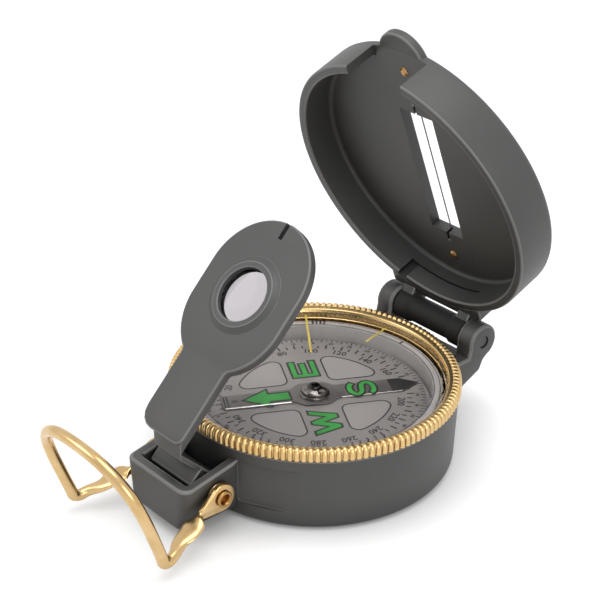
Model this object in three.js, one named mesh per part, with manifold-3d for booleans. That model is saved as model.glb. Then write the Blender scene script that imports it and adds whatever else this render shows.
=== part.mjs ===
// Folding magnetic compass: a round case with a liquid capsule, a turning bezel, a hinged lid with a
// sighting wire, a folding lens arm and a wire thumb loop. Millimetres, +Z up, lid hinge towards +Y,
// lens arm towards -Y, origin at the centre of the case's underside. Shown open, as in use.
import * as THREE from 'three';
import { mergeVertices } from 'three/addons/utils/BufferGeometryUtils.js';
import Module from 'manifold-3d';

const wasm = await Module();
wasm.setup();

// Overall sizes
const BEZEL_R = 28;
const CASE_R = BEZEL_R - 0.5;
const CASE_TOP = 15.2;
const CASE_DRAFT = 0.5;
const CASE_ROUND = 2.2;
const CASE_WALL = 1.5;
const FLOOR = 2;
const GAP = 0.1;
const RUN = 0.15;
const SEGMENTS = 64;
const INNER_SEGMENTS = 40;

// Capsule and card
const LEDGE_Z = 8;
const LEDGE_W = 3.9;
const BOWL_FLOOR = 2.35;
const BOWL_WALL = 1.9;
const RING_T = 0.25;
const CRYSTAL_T = 0.8;
const CARD_Z = 11.85;
const CARD_T = 0.35;
const CARD_CLEAR = 1.1;
const CARD_AZIMUTH = -150.4;
const CARD_HOLE_R = 1.7;
const BAR_W = 4.6;
const BAR_T = 0.3;
const CAP_R = 3;
const CAP_H = 1.15;
const JEWEL_R = 0.9;
const POST_R = 0.55;
const PLUG_R = 1.1;

// Bezel
const BEZEL_H = 2.95;
const BEZEL_CHAMFER = 0.3;
const BEZEL_LAND = 0.5;
const SPIGOT_H = 2.15;
const SPIGOT_T = 0.75;
const LIP = 0.9;
const GASKET_W = 0.4;
const SPRING_W = 0.75;
const SPRING_T = 0.5;

// Front box and lens arm pivot
const PIVOT_Y = -(BEZEL_R + 3);
const PIVOT_Z = 8;
const BOX_TOP_W = 17.2;
const BOX_BOTTOM_W = 15;
const BOX_TOP = 11.2;
const BOX_BOTTOM = 1.85;
const BOX_FRONT = PIVOT_Y - 7.5;
const BOX_FRONT_WALL = 2.15;
const POCKET_W = BOX_TOP_W - 4.2;
const POCKET_FLOOR = 3.6;
const RIVET_R = 1.4;

// Lens arm, measured along the plate (v) and square to it (w) from the pivot when folded flat
const ARM_REST = 45.4;
const PLATE_T = 2;
const PLATE_BACK = CASE_TOP + RUN + BEZEL_H - PIVOT_Z + 0.3;
const PLATE_FRONT = PLATE_BACK + PLATE_T;
const PLATE_BOTTOM = 3.7;
const NECK_W = POCKET_W - 1.2;
const WEB_W = NECK_W - 1;
const HEAD_R = NECK_W / 2 + 5.7;
const HEAD_LONG = 7;
const LENS_V = 32.3;
const LENS_HOLE_R = 5.1;
const LENS_R = 5.55;
const LENS_BULGE = 0.75;
const RIM_W = 1.5;
const RIM_H = 0.5;
const NOTCH_W = 1.1;
const NOTCH_D = 3.3;
const WEB_T = 1.95;
const WEB_REAR = -PIVOT_Y - BEZEL_R - 0.35;
const SLOPE_RISE = 3;
const SLOPE_TOP = PLATE_FRONT - 0.4;
const BARREL_R = 2.9;
const KNEE_H = 4;

// Lid, measured closed
const HINGE_Y = BEZEL_R + 4.9;
const HINGE_Z = CASE_TOP + 2;
const LID_REST = 69;
const LID_Y = 0.7;
const LID_R = BEZEL_R + 0.4;
const LID_RIM = CASE_TOP + RUN + BEZEL_H + 0.4;
const LID_H = 9.4;
const LID_WALL = 1.8;
const LID_FLOOR = 2.2;
const LID_ROUND = 1.5;
const SLOT_W = 8.4;
const SLOT_FRONT = 14.6 - LID_R;
const SLOT_REAR = LID_R - 12.6;
const WIRE_R = 0.2;
const WIRE_GRIP = 2.5;
const WIRE_DEPTH = 1.2;
const DOT_R = 1;
const DOT_DEPTH = 0.9;
const DOT_FRONT = 4.8 - LID_R;
const DOT_REAR = LID_R - 6.6;
const CUT_W = 13.7;
const TAB_W = 11;
const TAB_OUT = 3.5;
const HINGE_PIN_R = 1.2;
const KNUCKLE_R = 3;
const KNUCKLE_W = 18;
const KNUCKLE_ARM_W = 3;
const BLOCK_W = 24;
const BLOCK_H = 5.4;
const BLOCK_IN = 5.6;
const EAR_GAP = 0.25;
const EAR_W = 4;
const EAR_R = 3.6;

// Thumb loop
const LOOP_WIRE_R = 1.05;
const LOOP_HALF_W = 13.7;
const LOOP_BEND_Y = -15.6;
const LOOP_BEND_Z = -5.2;
const LOOP_RISE = 22.8;
const LOOP_LEAN = 109.5;
const EYE_R = 2.7;
const EYE_T = 1.1;
const WASHER_R = 2.5;
const WASHER_T = 0.4;
const RIVET_HEAD_R = 2.2;
const RIVET_HEAD_T = 0.6;

// Sizes that follow from the ones above
const BORE_R = CASE_R - CASE_WALL;
const SPIGOT_R = BORE_R - RUN;
const BEZEL_BORE_R = SPIGOT_R - SPIGOT_T;
const BEZEL_Z = CASE_TOP + RUN;
const BEZEL_TOP = BEZEL_Z + BEZEL_H;
const LIP_Z = BEZEL_TOP - 1.1;
const BOWL_R = BEZEL_BORE_R - 0.6;
const BOWL_Z = LEDGE_Z + GAP / 2;
const BOWL_TOP = CASE_TOP - 0.55;
const BOWL_IN_R = BOWL_R - BOWL_WALL;
const BOWL_IN_Z = BOWL_Z + BOWL_FLOOR;
const RING_Z = BOWL_TOP + GAP / 2;
const COVER_Z = RING_Z + RING_T + GAP / 2;
const CARD_R = BOWL_IN_R - CARD_CLEAR;
const CARD_TOP = CARD_Z + CARD_T;
const BAR_Z = CARD_TOP + GAP / 2;
const CAP_Z = BAR_Z + BAR_T + GAP / 2;
const SPRING_Z = BEZEL_Z - SPIGOT_H + 0.75;
const SPRING_IN_R = BORE_R - 0.45;
const BOX_WALL_X = BOX_BOTTOM_W / 2
  + (BOX_TOP_W - BOX_BOTTOM_W) / 2 * (PIVOT_Z + WASHER_R - BOX_BOTTOM) / (BOX_TOP - BOX_BOTTOM);
const WASHER_X = BOX_WALL_X + RUN;
const EYE_X = WASHER_X + WASHER_T + RUN;
const HEAD_X = EYE_X + EYE_T + RUN;
const LID_TOP = LID_RIM + LID_H;
const LID_IN_Z = LID_TOP - LID_FLOOR;
const EAR_X = KNUCKLE_W / 2 + EAR_GAP;

const rad = THREE.MathUtils.degToRad;
const EAST = new THREE.Vector3(1, 0, 0);
const NORTH = new THREE.Vector3(0, 1, 0);
const UP = new THREE.Vector3(0, 0, 1);

// Solid helpers
function weld(geometry) {
  geometry.deleteAttribute('normal');
  geometry.deleteAttribute('uv');
  const merged = mergeVertices(geometry, 1e-4);
  const pos = merged.attributes.position;
  const index = merged.index.array;
  const kept = [];
  const a = new THREE.Vector3();
  const b = new THREE.Vector3();
  const c = new THREE.Vector3();
  let volume = 0;
  for (let i = 0; i < index.length; i += 3) {
    const [p, q, r] = [index[i], index[i + 1], index[i + 2]];
    if (p === q || q === r || r === p) continue;
    kept.push(p, q, r);
    a.fromBufferAttribute(pos, p);
    b.fromBufferAttribute(pos, q);
    c.fromBufferAttribute(pos, r);
    volume += a.dot(b.cross(c));
  }
  if (volume < 0) kept.reverse();
  merged.setIndex(kept);
  return merged;
}

function solid(geometry) {
  const g = weld(geometry);
  const vertProperties = new Float32Array(g.attributes.position.array);
  const triVerts = new Uint32Array(g.index.array);
  return new wasm.Manifold(new wasm.Mesh({ numProp: 3, vertProperties, triVerts }));
}

function geometryOf(manifold) {
  const mesh = manifold.getMesh();
  const positions = new Float32Array((mesh.vertProperties.length / mesh.numProp) * 3);
  for (let i = 0; i < positions.length / 3; i += 1) {
    for (let k = 0; k < 3; k += 1) positions[3 * i + k] = mesh.vertProperties[i * mesh.numProp + k];
  }
  const g = new THREE.BufferGeometry();
  g.setAttribute('position', new THREE.BufferAttribute(positions, 3));
  g.setIndex(Array.from(mesh.triVerts));
  return g;
}

// A body of revolution about Z from a closed outline of [radius, height] points
function turned(outline, segments = SEGMENTS) {
  const points = outline.map(([r, z]) => new THREE.Vector2(r, z));
  points.push(points[0].clone());
  return new THREE.LatheGeometry(points, segments).rotateX(Math.PI / 2);
}

// An outline in the X-Y plane raised along Z
function raised(shape, z, height, curveSegments = 12) {
  const options = { depth: height, bevelEnabled: false, curveSegments };
  return new THREE.ExtrudeGeometry(shape, options).translate(0, 0, z);
}

// An outline in the Y-Z plane drawn along X
function drawn(shape, x, length, curveSegments = 12) {
  const options = { depth: length, bevelEnabled: false, curveSegments };
  const g = new THREE.ExtrudeGeometry(shape, options).translate(0, 0, x);
  return g.applyMatrix4(new THREE.Matrix4().makeBasis(NORTH, UP, EAST));
}

function polygon(points) {
  return new THREE.Shape(points.map(([x, y]) => new THREE.Vector2(x, y)));
}

function disc(x, y, r) {
  const shape = new THREE.Shape();
  shape.absarc(x, y, r, 0, 2 * Math.PI, false);
  return shape;
}

function block(x0, x1, y0, y1, z0, z1) {
  const g = new THREE.BoxGeometry(x1 - x0, y1 - y0, z1 - z0);
  return g.translate((x0 + x1) / 2, (y0 + y1) / 2, (z0 + z1) / 2);
}

function rod(x0, x1, y, z, r, segments = 20) {
  return drawn(disc(y, z, r), x0, x1 - x0, segments / 2);
}

function quarter(cx, cz, r, from, to, steps = 4) {
  const out = [];
  for (let i = 0; i <= steps; i += 1) {
    const t = rad(from + (to - from) * i / steps);
    out.push([cx + r * Math.cos(t), cz + r * Math.sin(t)]);
  }
  return out;
}

const paints = {
  grey: [0x5c5b5a, 0.75, 0],
  brass: [0xd2a45c, 0.35, 1],
  silver: [0xa8a29e, 0.4, 0.3],
  steel: [0xb4b4b4, 0.3, 1],
  glass: [0xdfe6e6, 0.05, 0],
  rubber: [0x8a8784, 0.7, 0],
  copper: [0xc06a3c, 0.3, 1],
  ruby: [0xb04058, 0.2, 0],
};

function piece(parent, name, geometry, paint) {
  const g = weld(geometry);
  g.computeVertexNormals();
  const [color, roughness, metalness] = paints[paint];
  const mesh = new THREE.Mesh(g, new THREE.MeshStandardMaterial({ color, roughness, metalness }));
  mesh.name = name;
  parent.add(mesh);
}

const compass = new THREE.Group();
compass.name = 'magnetic_compass';

// Case: a round cup with a front box for the lens arm and two rear ears for the lid
function caseBody() {
  const low = CASE_R - CASE_DRAFT;
  const cup = turned([
    [0, 0],
    ...quarter(low - CASE_ROUND, CASE_ROUND, CASE_ROUND, -90, 0, 5),
    [CASE_R, CASE_TOP],
    [0, CASE_TOP],
  ]);
  const section = polygon([
    [-BOX_TOP_W / 2, BOX_TOP],
    ...quarter(-BOX_BOTTOM_W / 2 + 1.5, BOX_BOTTOM + 1.5, 1.5, 180, 270, 3),
    ...quarter(BOX_BOTTOM_W / 2 - 1.5, BOX_BOTTOM + 1.5, 1.5, 270, 360, 3),
    [BOX_TOP_W / 2, BOX_TOP],
  ]);
  const boxBack = -BORE_R + 6;
  const prism = raised(section, 0, boxBack - BOX_FRONT).rotateX(Math.PI / 2).translate(0, boxBack, 0);
  const plan = polygon([
    [BOX_TOP_W, boxBack + 1],
    [-BOX_TOP_W, boxBack + 1],
    [-BOX_TOP_W, BOX_FRONT + 4],
    ...quarter(-BOX_TOP_W / 2 + 1.8, BOX_FRONT + 1.8, 1.8, 180, 270, 3),
    ...quarter(BOX_TOP_W / 2 - 1.8, BOX_FRONT + 1.8, 1.8, 270, 360, 3),
    [BOX_TOP_W, BOX_FRONT + 4],
  ]);
  const box = solid(prism).intersect(solid(raised(plan, BOX_BOTTOM - 1, BOX_TOP)));
  const ear = polygon([
    [CASE_R - 4.5, CASE_TOP - 7.2],
    [HINGE_Y - 3.5, HINGE_Z - 5.5],
    ...quarter(HINGE_Y, HINGE_Z, EAR_R, -40, 190, 12),
    [HINGE_Y - 4, CASE_TOP - 0.4],
    [CASE_R - 4.5, CASE_TOP - 0.4],
  ]);
  const cavity = turned([
    [0, FLOOR],
    [BORE_R - LEDGE_W, FLOOR],
    [BORE_R - LEDGE_W, LEDGE_Z],
    [BORE_R, LEDGE_Z],
    [BORE_R, SPRING_Z - RUN],
    [SPRING_IN_R + SPRING_W + RUN, SPRING_Z - RUN],
    [SPRING_IN_R + SPRING_W + RUN, SPRING_Z + SPRING_T + RUN],
    [BORE_R, SPRING_Z + SPRING_T + RUN],
    [BORE_R, CASE_TOP + 1],
    [0, CASE_TOP + 1],
  ]);
  const pocketFront = BOX_FRONT + BOX_FRONT_WALL;
  const wall = turned([[0, 0], [CASE_R - 0.5, 0], [CASE_R - 0.5, BOX_TOP + 2], [0, BOX_TOP + 2]]);
  const pocket = solid(block(-POCKET_W / 2, POCKET_W / 2, pocketFront, boxBack, POCKET_FLOOR, BOX_TOP + 1))
    .subtract(solid(wall));
  return solid(cup)
    .add(box)
    .add(solid(drawn(ear, EAR_X, EAR_W)))
    .add(solid(drawn(ear, -EAR_X - EAR_W, EAR_W)))
    .subtract(solid(cavity))
    .subtract(pocket)
    .subtract(solid(rod(-BOX_TOP_W, BOX_TOP_W, PIVOT_Y, PIVOT_Z, RIVET_R + GAP)))
    .subtract(solid(rod(-BOX_TOP_W * 2, BOX_TOP_W * 2, HINGE_Y, HINGE_Z, HINGE_PIN_R + GAP)));
}
piece(compass, 'case_body', geometryOf(caseBody()), 'grey');

// Capsule: bowl, sealing ring, cover, filler plug and the post the card turns on
const bowl = turned([
  [0, BOWL_Z],
  [BOWL_R, BOWL_Z],
  [BOWL_R, BOWL_TOP],
  [BOWL_IN_R, BOWL_TOP],
  [BOWL_IN_R, BOWL_IN_Z],
  [0, BOWL_IN_Z],
], INNER_SEGMENTS);
const plugHole = turned([
  [0, BOWL_Z - 1],
  [PLUG_R + GAP, BOWL_Z - 1],
  [PLUG_R + GAP, BOWL_IN_Z + 1],
  [0, BOWL_IN_Z + 1],
], 16);
const plugY = 4 - BOWL_IN_R;
const bowlSolid = solid(bowl).subtract(solid(plugHole.translate(0, plugY, 0)));
piece(compass, 'capsule_bowl', geometryOf(bowlSolid), 'silver');
piece(compass, 'filler_plug', turned([
  [0, BOWL_Z],
  [PLUG_R, BOWL_Z],
  [PLUG_R, BOWL_IN_Z - GAP],
  [0, BOWL_IN_Z - GAP],
], 16).translate(0, plugY, 0), 'steel');
piece(compass, 'capsule_gasket', turned([
  [BOWL_IN_R + 0.3, RING_Z],
  [BOWL_R - 0.2, RING_Z],
  [BOWL_R - 0.2, RING_Z + RING_T],
  [BOWL_IN_R + 0.3, RING_Z + RING_T],
], INNER_SEGMENTS), 'rubber');
piece(compass, 'capsule_crystal', turned([
  [0, COVER_Z],
  [BOWL_R - 0.1, COVER_Z],
  [BOWL_R - 0.1, COVER_Z + CRYSTAL_T - 0.1],
  [0, COVER_Z + CRYSTAL_T - 0.1],
], INNER_SEGMENTS), 'glass');
piece(compass, 'pivot_post', turned([
  [0, BOWL_IN_Z + GAP / 2],
  [1.6, BOWL_IN_Z + GAP / 2],
  [1.6, BOWL_IN_Z + 0.5],
  [POST_R, BOWL_IN_Z + 0.8],
  [POST_R, CAP_Z],
  [0, CAP_Z + 0.45],
], 20), 'steel');

// Card: a disc with a magnet bar across it and a bearing cap at the middle
const card = new THREE.Group();
card.name = 'card';
card.rotation.z = -rad(CARD_AZIMUTH);
compass.add(card);
const cardShape = new THREE.Shape();
cardShape.absarc(0, 0, CARD_R, 0, 2 * Math.PI, false);
cardShape.holes.push(new THREE.Path().absarc(0, 0, CARD_HOLE_R, 0, 2 * Math.PI, true));
piece(card, 'compass_card', raised(cardShape, CARD_Z, CARD_T, 32), 'silver');
const barShape = polygon([
  [-BAR_W / 2, 0.84 * CARD_R],
  [-BAR_W / 2, -0.8 * CARD_R],
  [0, -0.97 * CARD_R],
  [BAR_W / 2, -0.8 * CARD_R],
  [BAR_W / 2, 0.84 * CARD_R],
]);
barShape.holes.push(new THREE.Path().absarc(0, 0, POST_R + 0.65, 0, 2 * Math.PI, true));
piece(card, 'magnet_bar', raised(barShape, BAR_Z, BAR_T, 8), 'steel');
const jewelZ = CAP_Z + CAP_H - 0.25 - RING_T;
piece(card, 'bearing_cap', turned([
  [JEWEL_R + GAP, CAP_Z],
  [CAP_R, CAP_Z],
  [CAP_R, CAP_Z + 0.3],
  [CAP_R / 2, CAP_Z + CAP_H],
  [0, CAP_Z + CAP_H],
  [0, jewelZ + RING_T + GAP / 2],
  [JEWEL_R + GAP, jewelZ + RING_T + GAP / 2],
], 24), 'steel');
piece(card, 'bearing_jewel', turned([
  [0, jewelZ],
  [JEWEL_R, jewelZ],
  [JEWEL_R, jewelZ + RING_T],
  [0, jewelZ + RING_T],
], 20), 'ruby');

// Bezel: a ring that turns on the case and carries a glass with the marking lines
piece(compass, 'bezel_ring', turned([
  [BEZEL_BORE_R, BEZEL_Z - SPIGOT_H],
  [SPIGOT_R, BEZEL_Z - SPIGOT_H],
  [SPIGOT_R, SPRING_Z - RUN],
  [SPRING_IN_R - RUN, SPRING_Z - RUN],
  [SPRING_IN_R - RUN, SPRING_Z + SPRING_T + RUN],
  [SPIGOT_R, SPRING_Z + SPRING_T + RUN],
  [SPIGOT_R, BEZEL_Z],
  [BEZEL_R - BEZEL_CHAMFER, BEZEL_Z],
  [BEZEL_R, BEZEL_Z + BEZEL_CHAMFER],
  [BEZEL_R, BEZEL_TOP - BEZEL_CHAMFER],
  [BEZEL_R - BEZEL_CHAMFER, BEZEL_TOP],
  [BEZEL_R - BEZEL_CHAMFER - BEZEL_LAND, BEZEL_TOP],
  [BEZEL_BORE_R - LIP, LIP_Z + 0.15],
  [BEZEL_BORE_R - LIP, LIP_Z],
  [BEZEL_BORE_R, LIP_Z],
]), 'brass');
const glassZ = LIP_Z - GAP / 2 - CRYSTAL_T;
piece(compass, 'bezel_crystal', turned([
  [0, glassZ],
  [BEZEL_BORE_R - GASKET_W - GAP, glassZ],
  [BEZEL_BORE_R - GASKET_W - GAP, glassZ + CRYSTAL_T],
  [0, glassZ + CRYSTAL_T],
], INNER_SEGMENTS), 'glass');
piece(compass, 'crystal_gasket', turned([
  [BEZEL_BORE_R - GASKET_W - GAP / 2, glassZ],
  [BEZEL_BORE_R - GAP / 2, glassZ],
  [BEZEL_BORE_R - GAP / 2, glassZ + CRYSTAL_T],
  [BEZEL_BORE_R - GASKET_W - GAP / 2, glassZ + CRYSTAL_T],
], INNER_SEGMENTS), 'rubber');
const spring = new THREE.Shape();
spring.absarc(0, 0, SPRING_IN_R + SPRING_W, rad(100), rad(440), false);
spring.absarc(0, 0, SPRING_IN_R, rad(440), rad(100), true);
piece(compass, 'bezel_spring_ring', raised(spring, SPRING_Z, SPRING_T, INNER_SEGMENTS), 'steel');

// Lid: drawn closed about its hinge axis, then opened to the angle it is used at
const lid = new THREE.Group();
lid.name = 'lid';
lid.position.set(0, HINGE_Y, HINGE_Z);
lid.rotation.x = -rad(LID_REST);
compass.add(lid);

function lidShell() {
  const cup = turned([
    [0, LID_TOP],
    ...quarter(LID_R - LID_ROUND, LID_TOP - LID_ROUND, LID_ROUND, 90, 0, 3),
    [LID_R, LID_RIM],
    [LID_R - LID_WALL, LID_RIM],
    [LID_R - LID_WALL, LID_IN_Z],
    [0, LID_IN_Z],
  ]);
  const tabCentre = TAB_OUT + TAB_W / 2 - LID_R - TAB_OUT * 2;
  const tab = new THREE.Shape();
  tab.moveTo(TAB_W / 2, -LID_R + 6);
  tab.lineTo(-TAB_W / 2, -LID_R + 6);
  tab.lineTo(-TAB_W / 2, tabCentre);
  tab.absarc(0, tabCentre, TAB_W / 2, Math.PI, 2 * Math.PI, false);
  const cut = block(-CUT_W / 2, CUT_W / 2, -LID_R - 1, -LID_R + 5, LID_RIM - 1, LID_IN_Z);
  const edge = LID_Y + LID_R;
  const rear = edge + 0.3;
  const hinge = block(-BLOCK_W / 2, BLOCK_W / 2, edge - BLOCK_IN, rear, LID_RIM, LID_RIM + BLOCK_H);
  const grooveY = edge - BLOCK_IN + 0.8;
  const groove = block(-BLOCK_W / 2, 6, grooveY, grooveY + 0.5, LID_RIM - 1, LID_RIM + 0.6);
  const arm = polygon([
    [edge - 0.5, LID_RIM],
    [HINGE_Y - KNUCKLE_R + 0.3, HINGE_Z],
    ...quarter(HINGE_Y, HINGE_Z, KNUCKLE_R, 180, 420, 14),
    [rear, LID_RIM + BLOCK_H],
    [edge - 0.5, LID_RIM + BLOCK_H],
  ]);
  const half = KNUCKLE_W / 2;
  const end = half - KNUCKLE_ARM_W;
  const slot = block(-SLOT_W / 2, SLOT_W / 2, SLOT_FRONT, SLOT_REAR, LID_IN_Z - 1, LID_TOP + 1);
  const grip = block(-WIRE_R - GAP, WIRE_R + GAP, SLOT_FRONT - WIRE_GRIP, SLOT_REAR + WIRE_GRIP,
    LID_IN_Z - 1, LID_IN_Z + WIRE_DEPTH + WIRE_R + GAP);
  const seat = (y) => turned([
    [0, LID_IN_Z - 1],
    [DOT_R + GAP, LID_IN_Z - 1],
    [DOT_R + GAP, LID_IN_Z + DOT_DEPTH],
    [0, LID_IN_Z + DOT_DEPTH],
  ], 12).translate(0, y, 0);
  const set = (g) => solid(g.translate(0, LID_Y, 0));
  return set(cup)
    .subtract(set(cut))
    .add(set(raised(tab, LID_IN_Z, LID_FLOOR - 0.3)))
    .add(solid(hinge))
    .subtract(solid(groove))
    .add(solid(drawn(arm, end, KNUCKLE_ARM_W)))
    .add(solid(drawn(arm, -half, KNUCKLE_ARM_W)))
    .add(solid(rod(-half + 1, half - 1, HINGE_Y, HINGE_Z, KNUCKLE_R - 0.15)))
    .subtract(set(slot))
    .subtract(set(grip))
    .subtract(set(seat(DOT_FRONT)))
    .subtract(set(seat(DOT_REAR)))
    .subtract(solid(rod(-half - 1, half + 1, HINGE_Y, HINGE_Z, HINGE_PIN_R + RUN)));
}
const onLid = (g) => g.translate(0, -HINGE_Y, -HINGE_Z);
const inLid = (g) => onLid(g.translate(0, LID_Y, 0));
piece(lid, 'lid_shell', onLid(geometryOf(lidShell())), 'grey');
const wireLong = SLOT_REAR - SLOT_FRONT + 2 * WIRE_GRIP - 2 * GAP;
const wire = new THREE.CylinderGeometry(WIRE_R, WIRE_R, wireLong, 8);
wire.translate(0, (SLOT_FRONT + SLOT_REAR) / 2, LID_IN_Z + WIRE_DEPTH);
piece(lid, 'sighting_wire', inLid(wire), 'steel');
const dot = (y) => turned([
  [0, LID_IN_Z - GAP],
  [DOT_R, LID_IN_Z - GAP],
  [DOT_R, LID_IN_Z + DOT_DEPTH - GAP],
  [0, LID_IN_Z + DOT_DEPTH - GAP],
], 12).translate(0, y, 0);
piece(lid, 'sight_dot_front', inLid(dot(DOT_FRONT)), 'copper');
piece(lid, 'sight_dot_rear', inLid(dot(DOT_REAR)), 'copper');
const pinHalf = EAR_X + EAR_W - 0.3;
piece(compass, 'lid_hinge_pin', rod(-pinHalf, pinHalf, HINGE_Y, HINGE_Z, HINGE_PIN_R), 'brass');

// Lens arm: drawn folded flat about its pivot, then raised to the angle it is used at
const arm = new THREE.Group();
arm.name = 'lens_arm';
arm.position.set(0, PIVOT_Y, PIVOT_Z);
arm.rotation.x = rad(ARM_REST);
compass.add(arm);

function lensBracket() {
  const half = NECK_W / 2;
  const low = LENS_V - HEAD_LONG / 2;
  const high = LENS_V + HEAD_LONG / 2;
  const join = rad(50);
  const plate = new THREE.Shape();
  plate.moveTo(half - 1, PLATE_BOTTOM);
  plate.quadraticCurveTo(half, PLATE_BOTTOM, half, PLATE_BOTTOM + 1);
  plate.lineTo(half, low - HEAD_R - 1);
  plate.quadraticCurveTo(half, low - HEAD_R + 1.7, HEAD_R * Math.cos(join), low - HEAD_R * Math.sin(join));
  plate.absarc(0, low, HEAD_R, -join, 0, false);
  plate.absarc(0, high, HEAD_R, 0, Math.PI, false);
  plate.absarc(0, low, HEAD_R, Math.PI, Math.PI + join, false);
  plate.quadraticCurveTo(-half, low - HEAD_R + 1.7, -half, low - HEAD_R - 1);
  plate.lineTo(-half, PLATE_BOTTOM + 1);
  plate.quadraticCurveTo(-half, PLATE_BOTTOM, -half + 1, PLATE_BOTTOM);
  const tip = high + HEAD_R;
  const notch = block(-NOTCH_W / 2, NOTCH_W / 2, tip - NOTCH_D, tip + 1, PLATE_BACK - 1, PLATE_FRONT + 1);
  const hole = raised(disc(0, LENS_V, LENS_HOLE_R), PLATE_BACK - 1, PLATE_T + 2, 16);
  const seat = raised(disc(0, LENS_V, LENS_R + GAP), PLATE_FRONT - 1.2, 2, 16);
  const front = WEB_REAR - WEB_T;
  const web = polygon([
    [front, 0],
    [WEB_REAR, 0],
    [WEB_REAR, PLATE_BACK],
    [PLATE_BOTTOM + 2, PLATE_BACK],
    [PLATE_BOTTOM + 2, SLOPE_TOP],
    [PLATE_BOTTOM + 0.1, SLOPE_TOP],
    [front, SLOPE_TOP - SLOPE_RISE],
  ]);
  const knee = polygon([
    [-2.2, 0],
    [WEB_REAR, 0],
    [WEB_REAR, KNEE_H - 0.7],
    [1.4, KNEE_H],
    [-1.4, KNEE_H],
    [-2.6, 1.2],
  ]);
  const x = WEB_W / 2;
  return solid(raised(plate, PLATE_BACK, PLATE_T))
    .add(solid(drawn(web, -x, WEB_W)))
    .add(solid(drawn(knee, -half, NECK_W)))
    .add(solid(rod(-half, half, 0, 0, BARREL_R, 24)))
    .subtract(solid(notch))
    .subtract(solid(hole))
    .subtract(solid(seat))
    .subtract(solid(rod(-half - 1, half + 1, 0, 0, RIVET_R + RUN)));
}
piece(arm, 'lens_bracket', geometryOf(lensBracket()), 'grey');
const lensBack = PLATE_FRONT - 1.2 + GAP / 2;
const dome = (z, rise) => [1, 0.66, 0.33].map((k) => [LENS_HOLE_R * 0.96 * k, z + rise * (1 - k * k)]);
piece(arm, 'magnifier_lens', turned([
  [0, lensBack - LENS_BULGE],
  ...dome(lensBack, -LENS_BULGE).reverse(),
  [LENS_R, lensBack],
  [LENS_R, PLATE_FRONT - GAP / 2],
  ...dome(PLATE_FRONT - GAP / 2, LENS_BULGE),
  [0, PLATE_FRONT - GAP / 2 + LENS_BULGE],
], 32).translate(0, LENS_V, 0), 'glass');
piece(arm, 'lens_retaining_ring', turned([
  [LENS_HOLE_R, PLATE_FRONT + GAP / 2],
  [LENS_HOLE_R + RIM_W, PLATE_FRONT + GAP / 2],
  [LENS_HOLE_R + RIM_W - 0.2, PLATE_FRONT + RIM_H],
  [LENS_HOLE_R + 0.2, PLATE_FRONT + RIM_H],
], 32).translate(0, LENS_V, 0), 'grey');

// Pivot rivet through the front box, with a washer behind each eye of the thumb loop
function rivet() {
  const outer = HEAD_X + RIVET_HEAD_T;
  const head = (x) => rod(x, x + RIVET_HEAD_T, PIVOT_Y, PIVOT_Z, RIVET_HEAD_R);
  const hollow = (x) => rod(x, x + 2, PIVOT_Y, PIVOT_Z, RIVET_R - 0.6, 16);
  return solid(rod(-outer, outer, PIVOT_Y, PIVOT_Z, RIVET_R))
    .add(solid(head(HEAD_X)))
    .add(solid(head(-outer)))
    .subtract(solid(hollow(outer - 1.2)))
    .subtract(solid(hollow(-outer - 0.8)));
}
piece(compass, 'pivot_rivet', geometryOf(rivet()), 'brass');
const washerShape = disc(PIVOT_Y, PIVOT_Z, WASHER_R);
washerShape.holes.push(new THREE.Path().absarc(PIVOT_Y, PIVOT_Z, RIVET_R + GAP, 0, 2 * Math.PI, true));
piece(compass, 'loop_washer_right', drawn(washerShape, WASHER_X, WASHER_T, 10), 'brass');
piece(compass, 'loop_washer_left', drawn(washerShape, -WASHER_X - WASHER_T, WASHER_T, 10), 'brass');

// Thumb loop: one bent wire with a flattened eye at each end, about the pivot rivet
const loop = new THREE.Group();
loop.name = 'thumb_loop_group';
loop.position.set(0, PIVOT_Y, PIVOT_Z);
compass.add(loop);

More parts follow.
